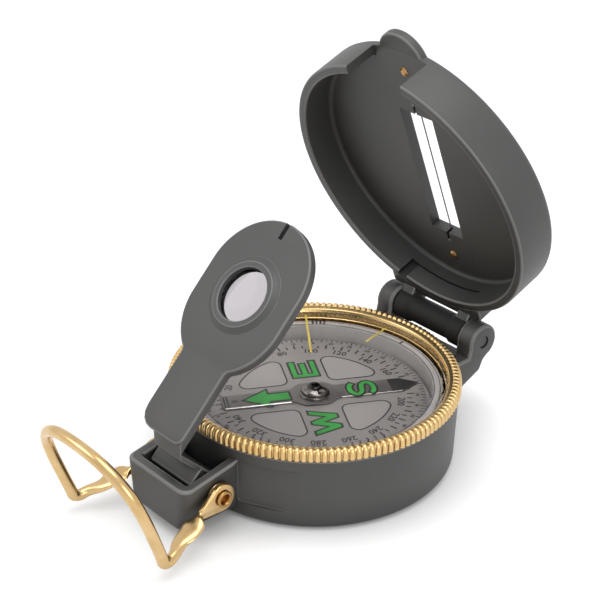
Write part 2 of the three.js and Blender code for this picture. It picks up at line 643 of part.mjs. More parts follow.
function thumbLoop() {
  const eyeMid = EYE_X + EYE_T / 2;
  const along = new THREE.Vector2(LOOP_BEND_Y, LOOP_BEND_Z).normalize();
  const lean = new THREE.Vector2(Math.cos(rad(LOOP_LEAN)), Math.sin(rad(LOOP_LEAN)));
  const strip = (x, d) => new THREE.Vector3(x, along.x * d, along.y * d);
  const bow = (x, s) => new THREE.Vector3(x, LOOP_BEND_Y + lean.x * s, LOOP_BEND_Z + lean.y * s);
  const full = Math.hypot(LOOP_BEND_Y, LOOP_BEND_Z);
  const right = [
    strip(eyeMid, 3.6),
    strip(eyeMid + 0.15, 5.6),
    strip(eyeMid + (LOOP_HALF_W - 0.9 - eyeMid) * 0.6, full * 0.65),
    strip(LOOP_HALF_W - 0.9, full - 2.6),
    strip(LOOP_HALF_W - 0.5, full - 1.2).add(new THREE.Vector3(0, 0, 0.1)),
    bow(LOOP_HALF_W - 0.3, 0.9),
    bow(LOOP_HALF_W - 0.2, 2.6),
    bow(LOOP_HALF_W, LOOP_RISE * 0.28),
    bow(LOOP_HALF_W, LOOP_RISE * 0.53),
    bow(LOOP_HALF_W * 0.93, LOOP_RISE * 0.72),
    bow(LOOP_HALF_W * 0.75, LOOP_RISE * 0.87),
    bow(LOOP_HALF_W * 0.44, LOOP_RISE * 0.97),
  ];
  const left = right.map((p) => new THREE.Vector3(-p.x, p.y, p.z)).reverse();
  const path = new THREE.CatmullRomCurve3([...right, bow(0, LOOP_RISE), ...left]);
  const options = { steps: 56, bevelEnabled: false, extrudePath: path, curveSegments: 4 };
  const strand = new THREE.ExtrudeGeometry(disc(0, 0, LOOP_WIRE_R), options);
  const angle = Math.atan2(along.y, along.x);
  const outline = new THREE.Shape();
  outline.absarc(0, 0, EYE_R, angle + rad(70), angle + rad(290), false);
  outline.absarc(along.x * 5, along.y * 5, LOOP_WIRE_R + 0.2, angle + rad(290), angle + rad(430), false);
  const eye = (x) => solid(drawn(outline, x, EYE_T));
  return solid(strand)
    .add(eye(EYE_X))
    .add(eye(-EYE_X - EYE_T))
    .subtract(solid(rod(-EYE_X - 2, EYE_X + 2, 0, 0, RIVET_R + RUN)));
}
piece(loop, 'thumb_loop', geometryOf(thumbLoop()), 'brass');

export default compass;
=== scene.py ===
import math

import bmesh
import bpy
from mathutils import Matrix, Vector


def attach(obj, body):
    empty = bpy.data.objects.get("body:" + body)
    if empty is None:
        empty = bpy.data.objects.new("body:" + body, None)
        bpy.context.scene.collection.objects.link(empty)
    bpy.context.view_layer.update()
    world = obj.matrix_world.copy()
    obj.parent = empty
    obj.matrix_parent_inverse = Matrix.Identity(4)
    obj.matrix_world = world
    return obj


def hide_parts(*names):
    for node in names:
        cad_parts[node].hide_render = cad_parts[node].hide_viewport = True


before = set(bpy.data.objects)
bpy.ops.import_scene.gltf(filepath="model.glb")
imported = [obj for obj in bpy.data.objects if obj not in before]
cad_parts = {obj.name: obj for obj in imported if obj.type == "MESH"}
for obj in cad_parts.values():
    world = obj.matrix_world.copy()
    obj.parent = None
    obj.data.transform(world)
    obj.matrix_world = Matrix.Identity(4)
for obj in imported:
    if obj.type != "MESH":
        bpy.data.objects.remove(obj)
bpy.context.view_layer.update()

# Sizes in millimetres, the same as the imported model's
MM = 0.001
BEZEL_R = 28.0
CASE_R = 27.5
CASE_FOOT_R = 27.0
CASE_TOP = 15.2
BORE_R = 26.0
FLOOR = 2.0
LEDGE_R = 22.1
LEDGE_Z = 8.0
GROOVE_Z = (13.8, 14.6)
GROOVE_R = 26.45
BOX_TOP_HALF = 8.6
BOX_FOOT_HALF = 7.5
BOX_TOP = 11.2
BOX_FOOT = 1.85
BOX_RISE = 0.19
BOX_FRONT = -38.5
POCKET_HALF = 6.5
POCKET_FRONT = -36.35
POCKET_FLOOR = 3.6
PIVOT = Vector((0, -31, 8))
RIVET_R = 1.4
HINGE = Vector((0, 32.9, 17.2))
PIN_R = 1.2
EAR_X = 9.25
EAR_W = 4.0
EAR_R = 3.6
LID_REST = 69.0
LID_Y = 0.7
LID_R = 28.4
LID_RIM = 18.7
LID_TOP = 28.1
LID_WALL = 1.8
LID_IN = 25.9
SLOT_HALF = 4.2
SLOT_Y = (-13.8, 15.8)
ARM_REST = 45.4
PLATE_BACK = 10.6
PLATE_FRONT = 12.6
PLATE_FOOT = 3.7
NECK_HALF = 5.9
WEB_X = (-2.0, 5.7)
HEAD_R = 11.6
LENS_V = 32.3
LENS_HOLE_R = 5.1
CARD_R = 21.5
CARD_Z = 11.85
CARD_TOP = 12.2
BAR_HALF = 2.3
BAR_TOP = 12.55
CAP_Z = 12.6
CARD_NORTH = -150.4
EYE_X = (9.17, 10.27)
WIRE_R = 1.1
RIBS = 140
RIB_R = 27.42
MARK_Z = 14.93
MARK_LINE_Z = 16.3
MARK_LINE_W = 0.42
PRINT = 0.02
DEGREE_SIZE = 2.0
DEGREE_R = 16.6
OUTER_NUMBERS = 32
OUTER_SIZE = 1.05
OUTER_R = 19.75
LID_ARM_X = (6.0, 9.0)
KNUCKLE_R = 3.12
BLOCK_HALF = 12.0
WASHER_X = (8.62, 9.02)
LOOP_HALF = 13.7
LOOP_RISE = 22.8
EDGE_STRIP = 0.3

# Where the moving pieces stand at rest
LID_OPEN = (Matrix.Translation(HINGE) @ Matrix.Rotation(math.radians(-LID_REST), 4, "X")
            @ Matrix.Translation(-HINGE))
ARM_UP = Matrix.Translation(PIVOT) @ Matrix.Rotation(math.radians(ARM_REST), 4, "X")
CARD_TURN = Matrix.Rotation(math.radians(-CARD_NORTH), 4, "Z")
STILL = Matrix()
# Sends a flat outline's x, y and depth to world y, z and x
SIDEWAYS = Matrix(((0, 0, 1, 0), (1, 0, 0, 0), (0, 1, 0, 0), (0, 0, 0, 1)))


# ---- Mesh tools -------------------------------------------------------------------------------------------
def lift(z):
    """A move straight up."""
    return Matrix.Translation((0, 0, z))


def temporary(bm):
    """A working object with that mesh."""
    mesh = bpy.data.meshes.new("work")
    bm.to_mesh(mesh)
    obj = bpy.data.objects.new("work", mesh)
    bpy.context.scene.collection.objects.link(obj)
    return obj


def settled(obj):
    """The finished mesh of a working object, which is then removed."""
    graph = bpy.context.evaluated_depsgraph_get()
    mesh = bpy.data.meshes.new_from_object(obj.evaluated_get(graph))
    bm = bmesh.new()
    bm.from_mesh(mesh)
    bpy.data.meshes.remove(mesh)
    bpy.data.objects.remove(obj)
    return bm


def tidy(bm, gap=1e-4):
    """The mesh with doubled points joined and its faces turned outwards."""
    bmesh.ops.remove_doubles(bm, verts=bm.verts, dist=gap)
    bmesh.ops.dissolve_degenerate(bm, edges=bm.edges, dist=gap)
    bmesh.ops.recalc_face_normals(bm, faces=bm.faces)
    return bm


def moved(bm, place):
    bm.transform(place)
    return bm


def together(parts):
    """Several meshes as one."""
    whole = bmesh.new()
    for part in parts:
        mesh = bpy.data.meshes.new("work")
        part.to_mesh(mesh)
        whole.from_mesh(mesh)
        bpy.data.meshes.remove(mesh)
    return whole


def shaped(base, steps):
    """base after exact unions and cuts, given as (operation, mesh) pairs."""
    obj = temporary(base)
    others = []
    for operation, part in steps:
        other = temporary(part)
        others.append(other)
        cut = obj.modifiers.new("shape", "BOOLEAN")
        cut.operation = operation
        cut.solver = "EXACT"
        cut.object = other
    result = settled(obj)
    for other in others:
        bpy.data.objects.remove(other)
    return tidy(result)


def soften(corners, steps=4):
    """An outline from (x, y, radius) corners, with each corner rounded."""
    out = []
    for i, (x, y, radius) in enumerate(corners):
        if radius <= 0:
            out.append((x, y))
            continue
        point = Vector((x, y))
        back = Vector(corners[i - 1][:2]) - point
        ahead = Vector(corners[(i + 1) % len(corners)][:2]) - point
        half = back.angle(ahead) / 2
        reach = min(radius / math.tan(half), 0.49 * back.length, 0.49 * ahead.length)
        centre = point + (back.normalized() + ahead.normalized()).normalized() * (reach / math.cos(half))
        start = point + back.normalized() * reach - centre
        end = point + ahead.normalized() * reach - centre
        first = math.atan2(start.y, start.x)
        sweep = (math.atan2(end.y, end.x) - first + math.pi) % (2 * math.pi) - math.pi
        for k in range(steps + 1):
            a = first + sweep * k / steps
            out.append((centre.x + start.length * math.cos(a), centre.y + start.length * math.sin(a)))
    return out


def arc(x, y, radius, start, end, steps=16):
    """Points on an arc about (x, y), from one angle to another in degrees."""
    angles = [math.radians(start + (end - start) * k / steps) for k in range(steps + 1)]
    return [(x + radius * math.cos(a), y + radius * math.sin(a)) for a in angles]


def joined_rings(rings, closed=False, caps=True):
    """A skin over rings of points, each with as many points as the next or only one."""
    bm = bmesh.new()
    loops = [[bm.verts.new(p) for p in ring] for ring in rings]
    pairs = list(zip(loops, loops[1:]))
    if closed:
        pairs.append((loops[-1], loops[0]))
    for a, b in pairs:
        for i in range(max(len(a), len(b))):
            j = i + 1
            corner = [a[i % len(a)], a[j % len(a)], b[j % len(b)], b[i % len(b)]]
            corner = [v for k, v in enumerate(corner) if v not in corner[:k]]
            if len(corner) > 2:
                bm.faces.new(corner)
    if caps and not closed:
        for loop in (loops[0], loops[-1]):
            if len(loop) > 2:
                bm.faces.new(loop)
    return tidy(bm)


def turned(profile, steps=144):
    """A closed outline of (radius, height) points turned about Z."""
    rings = []
    for radius, height in profile:
        if radius < 1e-6:
            rings.append([(0, 0, height)])
            continue
        angles = [2 * math.pi * k / steps for k in range(steps)]
        rings.append([(radius * math.cos(a), radius * math.sin(a), height) for a in angles])
    return joined_rings(rings, closed=True)


def slab(outlines, depth, bevel=0.0):
    """A plate of that depth about the X-Y plane. The first outline is its edge, the others are holes."""
    curve = bpy.data.curves.new("work", "CURVE")
    curve.dimensions = "2D"
    curve.fill_mode = "BOTH"
    for outline in outlines:
        line = curve.splines.new("POLY")
        line.points.add(len(outline) - 1)
        for point, (x, y) in zip(line.points, outline):
            point.co = (x, y, 0, 1)
        line.use_cyclic_u = True
    curve.extrude = depth / 2 - bevel
    curve.bevel_depth = bevel
    curve.bevel_resolution = 2
    curve.offset = -bevel
    obj = bpy.data.objects.new("work", curve)
    bpy.context.scene.collection.objects.link(obj)
    bm = settled(obj)
    bpy.data.curves.remove(curve)
    return tidy(bm)


def block(x0, x1, y0, y1, z0, z1):
    """A plain box between those limits."""
    bm = slab([[(x0, y0), (x1, y0), (x1, y1), (x0, y1)]], z1 - z0)
    return moved(bm, lift((z0 + z1) / 2))


def across(outline, x0, x1, bevel=0.0):
    """A Y-Z outline drawn along X."""
    return moved(slab([outline], x1 - x0, bevel), Matrix.Translation(((x0 + x1) / 2, 0, 0)) @ SIDEWAYS)


def along_x(profile, y, z, steps=48):
    """A closed outline of (radius, x) points turned about an axis along X."""
    return moved(turned(profile, steps), Matrix.Translation((0, y, z)) @ Matrix.Rotation(math.pi / 2, 4, "Y"))


def rod_x(x0, x1, y, z, radius):
    """A plain round rod along X."""
    return along_x([(0, x0), (radius, x0), (radius, x1), (0, x1)], y, z)


def lettering(text, size, depth):
    """Digits as a thin raised print."""
    curve = bpy.data.curves.new("work", "FONT")
    curve.body = text
    curve.size = size
    curve.align_x = "CENTER"
    curve.align_y = "CENTER"
    curve.resolution_u = 2
    curve.extrude = depth / 2
    curve.offset = 0.018 * size
    obj = bpy.data.objects.new("work", curve)
    bpy.context.scene.collection.objects.link(obj)
    bm = settled(obj)
    bpy.data.curves.remove(curve)
    return tidy(bm, 1e-5)


def ring_tree():
    """Copies of one shape set round the Z axis."""
    tree = bpy.data.node_groups.new("copies_round_axis", "GeometryNodeTree")
    face = tree.interface
    for label, kind in (("Geometry", "Geometry"), ("Shape", "Object"), ("Count", "Int"), ("Step", "Float"),
                        ("Start", "Float"), ("Finish", "Material")):
        face.new_socket(label, in_out="INPUT", socket_type="NodeSocket" + kind)
    face.new_socket("Geometry", in_out="OUTPUT", socket_type="NodeSocketGeometry")
    add = tree.nodes.new
    link = tree.links.new
    inputs = add("NodeGroupInput")
    outputs = add("NodeGroupOutput")
    points = add("GeometryNodePoints")
    info = add("GeometryNodeObjectInfo")
    index = add("GeometryNodeInputIndex")
    turn = add("ShaderNodeMath")
    turn.operation = "MULTIPLY_ADD"
    spin = add("ShaderNodeCombineXYZ")
    placed = add("GeometryNodeInstanceOnPoints")
    real = add("GeometryNodeRealizeInstances")
    paint = add("GeometryNodeSetMaterial")
    link(inputs.outputs["Count"], points.inputs["Count"])
    link(inputs.outputs["Shape"], info.inputs["Object"])
    link(index.outputs[0], turn.inputs[0])
    link(inputs.outputs["Step"], turn.inputs[1])
    link(inputs.outputs["Start"], turn.inputs[2])
    link(turn.outputs[0], spin.inputs["Z"])
    link(points.outputs[0], placed.inputs["Points"])
    link(info.outputs["Geometry"], placed.inputs["Instance"])
    link(spin.outputs[0], placed.inputs["Rotation"])
    link(placed.outputs[0], real.inputs[0])
    link(real.outputs[0], paint.inputs["Geometry"])
    link(inputs.outputs["Finish"], paint.inputs["Material"])
    link(paint.outputs[0], outputs.inputs[0])
    return tree


RING = ring_tree()


def copies(shape, count, step, start, finish):
    """A mesh of count copies of shape, turned step degrees apart about Z."""
    pattern = temporary(shape)
    base = bmesh.new()
    holder = temporary(base)
    nodes = holder.modifiers.new("copies", "NODES")
    nodes.node_group = RING
    values = {"Shape": pattern, "Count": count, "Step": math.radians(step),
              "Start": math.radians(start), "Finish": finish}
    for item in RING.interface.items_tree:
        if item.in_out == "INPUT" and item.name in values:
            nodes[item.identifier] = values[item.name]
    result = settled(holder)
    bpy.data.objects.remove(pattern)
    return result


# ---- Finishes ---------------------------------------------------------------------------------------------
def grain_group():
    """Soft mottling and a fine grain that several finishes share."""
    group = bpy.data.node_groups.new("grain", "ShaderNodeTree")
    face = group.interface
    for label, value in (("Patch Scale", 60.0), ("Grain Scale", 2500.0), ("Stretch", 1.0)):
        face.new_socket(label, in_out="INPUT", socket_type="NodeSocketFloat").default_value = value
    for label in ("Patches", "Grain"):
        face.new_socket(label, in_out="OUTPUT", socket_type="NodeSocketFloat")
    add = group.nodes.new
    link = group.links.new
    inputs = add("NodeGroupInput")
    outputs = add("NodeGroupOutput")
    place = add("ShaderNodeTexCoord")
    stretch = add("ShaderNodeCombineXYZ")
    stretch.inputs["Y"].default_value = 1
    stretch.inputs["Z"].default_value = 1
    sized = add("ShaderNodeVectorMath")
    sized.operation = "MULTIPLY"
    patches = add("ShaderNodeTexNoise")
    patches.inputs["Detail"].default_value = 3
    grain = add("ShaderNodeTexNoise")
    grain.inputs["Detail"].default_value = 2
    link(inputs.outputs["Stretch"], stretch.inputs["X"])
    link(place.outputs["Object"], sized.inputs[0])
    link(stretch.outputs[0], sized.inputs[1])
    link(place.outputs["Object"], patches.inputs["Vector"])
    link(inputs.outputs["Patch Scale"], patches.inputs["Scale"])
    link(sized.outputs[0], grain.inputs["Vector"])
    link(inputs.outputs["Grain Scale"], grain.inputs["Scale"])
    link(patches.outputs["Fac"], outputs.inputs["Patches"])
    link(grain.outputs["Fac"], outputs.inputs["Grain"])
    return group


GRAIN = grain_group()


def blended(material, mask, span, low, high):
    """A colour that goes from low to high as the mask crosses the span. Either may be a fixed colour."""
    nodes = material.node_tree.nodes
    link = material.node_tree.links.new
    fit = nodes.new("ShaderNodeMapRange")
    fit.inputs["From Min"].default_value, fit.inputs["From Max"].default_value = span
    mix = nodes.new("ShaderNodeMix")
    mix.data_type = "RGBA"
    link(mask, fit.inputs["Value"])
    link(fit.outputs[0], mix.inputs["Factor"])
    for socket, value in ((mix.inputs[6], low), (mix.inputs[7], high)):
        if isinstance(value, tuple):
            socket.default_value = (*value, 1)
        else:
            link(value, socket)
    return mix.outputs[2]


# How open a surface must be before the painted shade fades out
OPEN_TO = (0.25, 0.85)
GRAIN_DEPTH = 0.00002


def finish(name, light, dark, rough, metal=0.0, patch=60.0, grain=2500.0, stretch=1.0, bump=0.1,
           specular=0.5, painted_shade=None, reach=0.9, edge_highlight=None):
    """A material whose colour and roughness wander with the patches and whose surface has a fine grain.

    It darkens to a painted shade colour where something stands within reach, as shade from nearby parts,
    and turns to a painted highlight colour on marked edges, as light caught on them.
    """
    material = bpy.data.materials.new(name)
    material.use_nodes = True
    nodes = material.node_tree.nodes
    link = material.node_tree.links.new
    shader = nodes["Principled BSDF"]
    shader.inputs["Metallic"].default_value = metal
    shader.inputs["Specular IOR Level"].default_value = specular
    texture = nodes.new("ShaderNodeGroup")
    texture.node_tree = GRAIN
    texture.inputs["Patch Scale"].default_value = patch
    texture.inputs["Grain Scale"].default_value = grain
    texture.inputs["Stretch"].default_value = stretch
    shade = nodes.new("ShaderNodeValToRGB")
    shade.color_ramp.elements[0].position = 0.3
    shade.color_ramp.elements[1].position = 0.7
    shade.color_ramp.elements[0].color = (*dark, 1)
    shade.color_ramp.elements[1].color = (*light, 1)
    gloss = nodes.new("ShaderNodeMapRange")
    gloss.inputs["To Min"].default_value = rough[0]
    gloss.inputs["To Max"].default_value = rough[1]
    relief = nodes.new("ShaderNodeBump")
    relief.inputs["Strength"].default_value = bump
    relief.inputs["Distance"].default_value = GRAIN_DEPTH
    link(texture.outputs["Patches"], shade.inputs["Fac"])
    colour = shade.outputs["Color"]
    # Painted shade: the colour darkens where other surfaces stand within reach, as if in their shade
    if painted_shade:
        nearby = nodes.new("ShaderNodeAmbientOcclusion")
        nearby.samples = 6
        nearby.inputs["Distance"].default_value = reach * MM
        colour = blended(material, nearby.outputs["AO"], OPEN_TO, painted_shade, colour)
    # Painted highlight: marked outer edges turn to a lighter colour, as light caught on them
    if edge_highlight:
        edge = nodes.new("ShaderNodeAttribute")
        edge.attribute_name = "edge"
        colour = blended(material, edge.outputs["Fac"], (0.0, 1.0), colour, edge_highlight)
    link(colour, shader.inputs["Base Color"])
    link(texture.outputs["Grain"], gloss.inputs["Value"])
    link(gloss.outputs[0], shader.inputs["Roughness"])
    link(texture.outputs["Grain"], relief.inputs["Height"])
    link(relief.outputs[0], shader.inputs["Normal"])
    return material


def clear(name, tint, ior):
    """Clear glass or plastic that lets light through to what lies under it."""
    dark = tuple(0.97 * c for c in tint)
    material = finish(name, tint, dark, (0.0, 0.03), patch=30, grain=300, bump=0.01)
    tree = material.node_tree
    shader = tree.nodes["Principled BSDF"]
    shader.inputs["Transmission Weight"].default_value = 1
    shader.inputs["IOR"].default_value = ior
    shader.inputs["Specular IOR Level"].default_value = 0.2
    path = tree.nodes.new("ShaderNodeLightPath")
    pass_on = tree.nodes.new("ShaderNodeBsdfTransparent")
    pass_on.inputs["Color"].default_value = (*(0.96 * c for c in tint), 1)
    mix = tree.nodes.new("ShaderNodeMixShader")
    tree.links.new(path.outputs["Is Shadow Ray"], mix.inputs["Fac"])
    tree.links.new(shader.outputs[0], mix.inputs[1])
    tree.links.new(pass_on.outputs[0], mix.inputs[2])
    tree.links.new(mix.outputs[0], tree.nodes["Material Output"].inputs["Surface"])
    return material


PAINT = ((0.125, 0.124, 0.121), (0.108, 0.107, 0.105), (0.4, 0.54))
# Lighter colour for the outer edges of the grey parts: a painted highlight
PAINT_EDGE_HIGHLIGHT = (0.29, 0.29, 0.285)
PAINT_BUMP = 0.16
# Painted shade darkens it within 9 mm of other parts, such as in the pocket and under the bezel
GREY = finish("grey_painted_metal", *PAINT, bump=PAINT_BUMP, painted_shade=(0.03, 0.03, 0.029), reach=9,
              edge_highlight=PAINT_EDGE_HIGHLIGHT)
# Painted shade darkens the lid's inside, reaching 24 mm
LID_GREY = finish("grey_painted_lid", *PAINT, bump=PAINT_BUMP, painted_shade=(0.016, 0.016, 0.0155), reach=24,
                  edge_highlight=PAINT_EDGE_HIGHLIGHT)
# The hinge barrel's near-black colour is painted shade, standing for the lid's shadow over it
BARREL_SHADE_GREY = finish("hinge_barrel_painted_shade", (0.036, 0.036, 0.035), (0.03, 0.03, 0.029), (0.5, 0.62),
                   bump=PAINT_BUMP, specular=0.2)
BRASS = finish("polished_brass", (0.70, 0.50, 0.26), (0.58, 0.39, 0.17), (0.16, 0.28), 1,
               patch=200, bump=0.03)
# Painted shade darkens it where other surfaces stand within 0.9 mm, as in the gaps between the ribs
BEZEL_BRASS = finish("turned_brass", (0.74, 0.53, 0.26), (0.64, 0.43, 0.18), (0.26, 0.4), 1,
                     patch=120, bump=0.05, painted_shade=(0.16, 0.085, 0.02))
RING_BRASS = finish("smooth_brass", (0.74, 0.53, 0.26), (0.66, 0.45, 0.19), (0.2, 0.32), 1,
                    patch=120, bump=0.03)
COPPER = finish("copper_dots", (0.44, 0.25, 0.11), (0.36, 0.19, 0.07), (0.2, 0.35), 1, patch=400)
RIVET = finish("rivet_brass", (0.50, 0.30, 0.12), (0.40, 0.22, 0.08), (0.25, 0.4), 1, patch=400)
STEEL = finish("bright_steel", (0.31, 0.295, 0.287), (0.23, 0.215, 0.207), (0.12, 0.24), 1, patch=200)
# Painted shade darkens the foot of the hub's dome and its hole
HUB_STEEL = finish("hub_steel", (0.22, 0.203, 0.195), (0.17, 0.156, 0.15), (0.1, 0.18), 1,
                   patch=200, bump=0.01, painted_shade=(0.02, 0.018, 0.017), reach=1.2)
# Near-white steel for the beads along the bar's edges: a painted highlight on the bar's side
BAR_EDGE_HIGHLIGHT = finish("bar_edge_painted_highlight", (0.85, 0.83, 0.82), (0.76, 0.74, 0.73), (0.2, 0.3), 1,
                patch=200, bump=0.02)
BAR_STEEL = finish("brushed_bar", (0.14, 0.126, 0.121), (0.114, 0.103, 0.099), (0.3, 0.42), 0.5,
                   patch=150, stretch=0.1)
CARD = finish("card_silver", (0.235, 0.216, 0.208), (0.21, 0.193, 0.186), (0.38, 0.5), 0.1,
              patch=90, bump=0.05)
PANEL = finish("card_panels", (0.275, 0.254, 0.247), (0.255, 0.235, 0.228), (0.38, 0.5), 0.1,
               patch=90, bump=0.05)
BOWL = finish("capsule_silver", (0.40, 0.375, 0.362), (0.36, 0.337, 0.325), (0.4, 0.5), 0.1,
              patch=70, bump=0.05)
SEAL = finish("sealing_ring", (0.38, 0.358, 0.348), (0.34, 0.32, 0.31), (0.4, 0.5), patch=90, bump=0.05)
INK = finish("black_ink", (0.02, 0.018, 0.018), (0.014, 0.012, 0.012), (0.5, 0.6), patch=300, bump=0.03)
GREEN = finish("green_ink", (0.028, 0.27, 0.042), (0.022, 0.22, 0.034), (0.45, 0.6), patch=300, bump=0.05)
YELLOW = finish("yellow_line", (0.52, 0.39, 0.05), (0.44, 0.32, 0.035), (0.4, 0.5), patch=300, bump=0.05)
RUBY = finish("jewel_garnet", (0.06, 0.012, 0.016), (0.05, 0.01, 0.012), (0.08, 0.15), patch=300, bump=0.02)
WIRE = finish("sighting_wire", (0.2, 0.2, 0.2), (0.15, 0.15, 0.15), (0.3, 0.4), 0.6, patch=300)
GLASS = clear("crystal_clear", (1.0, 1.0, 1.0), 1.015)
LENS = clear("lens_clear", (0.435, 0.41, 0.43), 1.45)


# ---- Pieces -----------------------------------------------------------------------------------------------
def mark_edges(bm):
    """Notes the narrow strips along outer edges, which get a painted highlight."""
    edge = bm.faces.layers.float.new("edge")
    for face in bm.faces:
        longest = max(e.calc_length() for e in face.edges)
        bends = [e.calc_face_angle_signed(0) for e in face.edges if e.calc_length() > 0.6 * longest]
        if face.calc_area() < EDGE_STRIP * longest and min(bends) > 0.06:
            face[edge] = 1


def piece(name, bm, body, material, nodes=(), place=STILL, sharp=32):
    """A finished piece: its mesh in place, in metres, riding on its body."""
    if material in (GREY, LID_GREY):
        mark_edges(bm)
    bm.transform(Matrix.Scale(MM, 4) @ place)
    mesh = bpy.data.meshes.new(name)
    bm.to_mesh(mesh)
    bm.free()
    mesh.materials.clear()
    mesh.materials.append(material)
    for face in mesh.polygons:
        face.material_index = 0
    mesh.shade_smooth()
    mesh.set_sharp_from_angle(angle=math.radians(sharp))
    obj = bpy.data.objects.new(name, mesh)
    bpy.context.scene.collection.objects.link(obj)
    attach(obj, body)
    if nodes:
        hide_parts(*nodes)
    return obj


# Case: a cup with a front box for the lens arm, two ears for the lid and a flat cut on each side of the box


def front_box():
    """The box with a rounded foot and crown and the pocket sunk into its top."""
    def ring(z, grow, half, front, radius, back, rise=0.0):
        half += grow
        corners = [(half, back, 0), (-half, back, 0), (-half, front - grow, radius),
                   (half, front - grow, radius)]
        return [(x, y, z + rise * max(0, y - BOX_FRONT - 3)) for x, y in soften(corners, 6)]

    def half_at(z):
        share = (z - BOX_FOOT) / (BOX_TOP - BOX_FOOT)
        return BOX_FOOT_HALF + (BOX_TOP_HALF - BOX_FOOT_HALF) * share

    foot, crown, lip = 1.5, 0.5, 0.35
    corner, pocket_corner = 1.8, 0.7
    back = -20
    pocket_back = back - 4
    rings = []
    for k in range(6):
        a = math.pi / 2 * k / 5
        z = BOX_FOOT + foot * (1 - math.cos(a))
        rings.append(ring(z, foot * (math.sin(a) - 1), half_at(z), BOX_FRONT, corner, back))
    for k in range(5):
        a = math.pi / 2 * k / 4
        z = BOX_TOP - crown * (1 - math.sin(a))
        rings.append(ring(z, crown * (math.cos(a) - 1), half_at(z), BOX_FRONT, corner, back, BOX_RISE))
    for k in range(5):
        a = math.pi / 2 * k / 4
        z = BOX_TOP - lip * (1 - math.cos(a))
        rings.append(ring(z, lip * (1 - math.sin(a)), POCKET_HALF, POCKET_FRONT, pocket_corner, pocket_back,
                          BOX_RISE))
    rings.append(ring(POCKET_FLOOR, 0, POCKET_HALF - 0.2, POCKET_FRONT, pocket_corner, pocket_back))
    return joined_rings(rings)


def ear(x0, x1):
    """One of the two ears that carry the lid's hinge, on a bracket from the cup."""
    lobe = arc(HINGE.y, HINGE.z, EAR_R, -70, 190, 28)
    bracket = [(23, 6.8, 0), (HINGE.y - 4.7, HINGE.z - 7.9, 3), (HINGE.y - 0.6, HINGE.z - 6.1, 1.6),
               (HINGE.y + 0.3, HINGE.z - 4.1, 0.4), (*lobe[0], 0)]
    outline = soften(bracket)[:-1] + lobe + [(HINGE.y - 4, 14.8), (23, 14.8)]
    return across(outline, x0, x1, 0.55)


def shelf():
    """The foot that joins the two ears under the lid's barrel."""
    outline = soften([(23, 8.0, 0), (HINGE.y - 3, HINGE.z - 8, 0.8), (HINGE.y + 0.9, HINGE.z - 5.4, 0.8),
                      (HINGE.y + 0.1, HINGE.z - 4.4, 0.5), (HINGE.y - 4, HINGE.z - 4.1, 0.5),
                      (23, HINGE.z - 4.1, 0)])
    return across(outline, -EAR_X - 0.6, EAR_X + 0.6)


def side_panel(side):
    """The plate that cuts a flat panel into the cup beside the box."""
    outline = soften([(-5.2, 3.9, 0.8), (7.4, 3.9, 0.8), (7.4, 13.0, 0.8), (-5.2, 13.0, 0.8)])
    if side < 0:
        outline = [(-x, y) for x, y in reversed(outline)]
    plate = slab([outline], 4, 0.3)
    turn = Matrix.Rotation(math.radians(28 * side), 4, "Z")
    stand = Matrix.Rotation(math.pi / 2, 4, "X")
    return moved(plate, turn @ Matrix.Translation((0, -28.5, 0)) @ stand)


cup = turned(soften([(0, 0, 0), (CASE_FOOT_R, 0, 2.2), (CASE_R, CASE_TOP, 0.3), (0, CASE_TOP, 0)], 8), 180)
cavity_profile = [(0, FLOOR), (LEDGE_R, FLOOR), (LEDGE_R, LEDGE_Z), (BORE_R, LEDGE_Z),
                  (BORE_R, GROOVE_Z[0]), (GROOVE_R, GROOVE_Z[0]), (GROOVE_R, GROOVE_Z[1]),
                  (BORE_R, GROOVE_Z[1]), (BORE_R, 17), (0, 17)]
cavity = turned(cavity_profile, 120)
case = shaped(cup, [
    ("UNION", front_box()),
    ("UNION", ear(EAR_X, EAR_X + EAR_W)),
    ("UNION", ear(-EAR_X - EAR_W, -EAR_X)),
    ("UNION", shelf()),
    ("DIFFERENCE", cavity),
    ("DIFFERENCE", side_panel(1)),
    ("DIFFERENCE", side_panel(-1)),
    ("DIFFERENCE", rod_x(-15, 15, PIVOT.y, PIVOT.z, RIVET_R + 0.1)),
    ("DIFFERENCE", rod_x(-20, 20, HINGE.y, HINGE.z, PIN_R + 0.1)),
])
piece("case_shell", case, "case", GREY, ["case_body"])

# Bezel: a turned ring, a row of rounded ribs over its outer edge and two marking lines under its glass
bezel_top = 17.85
rib_root = BEZEL_R - 0.5
bezel_profile = soften([
    (25.1, 13.2, 0.1), (25.85, 13.2, 0.1), (25.85, 13.8, 0), (25.4, 13.8, 0), (25.4, 14.6, 0),
    (25.85, 14.6, 0), (25.85, 15.35, 0), (rib_root, 15.35, 0.2), (rib_root, bezel_top - 0.4, 0.4),
    (26.2, bezel_top - 0.4, 0.5), (25.45, 17.1, 0.5), (25.1, 16.5, 0.3), (25.1, 15.3, 0),
    (24.95, 15.2, 0.05), (24.95, 15.0, 0.05), (25.1, 14.9, 0)], 5)


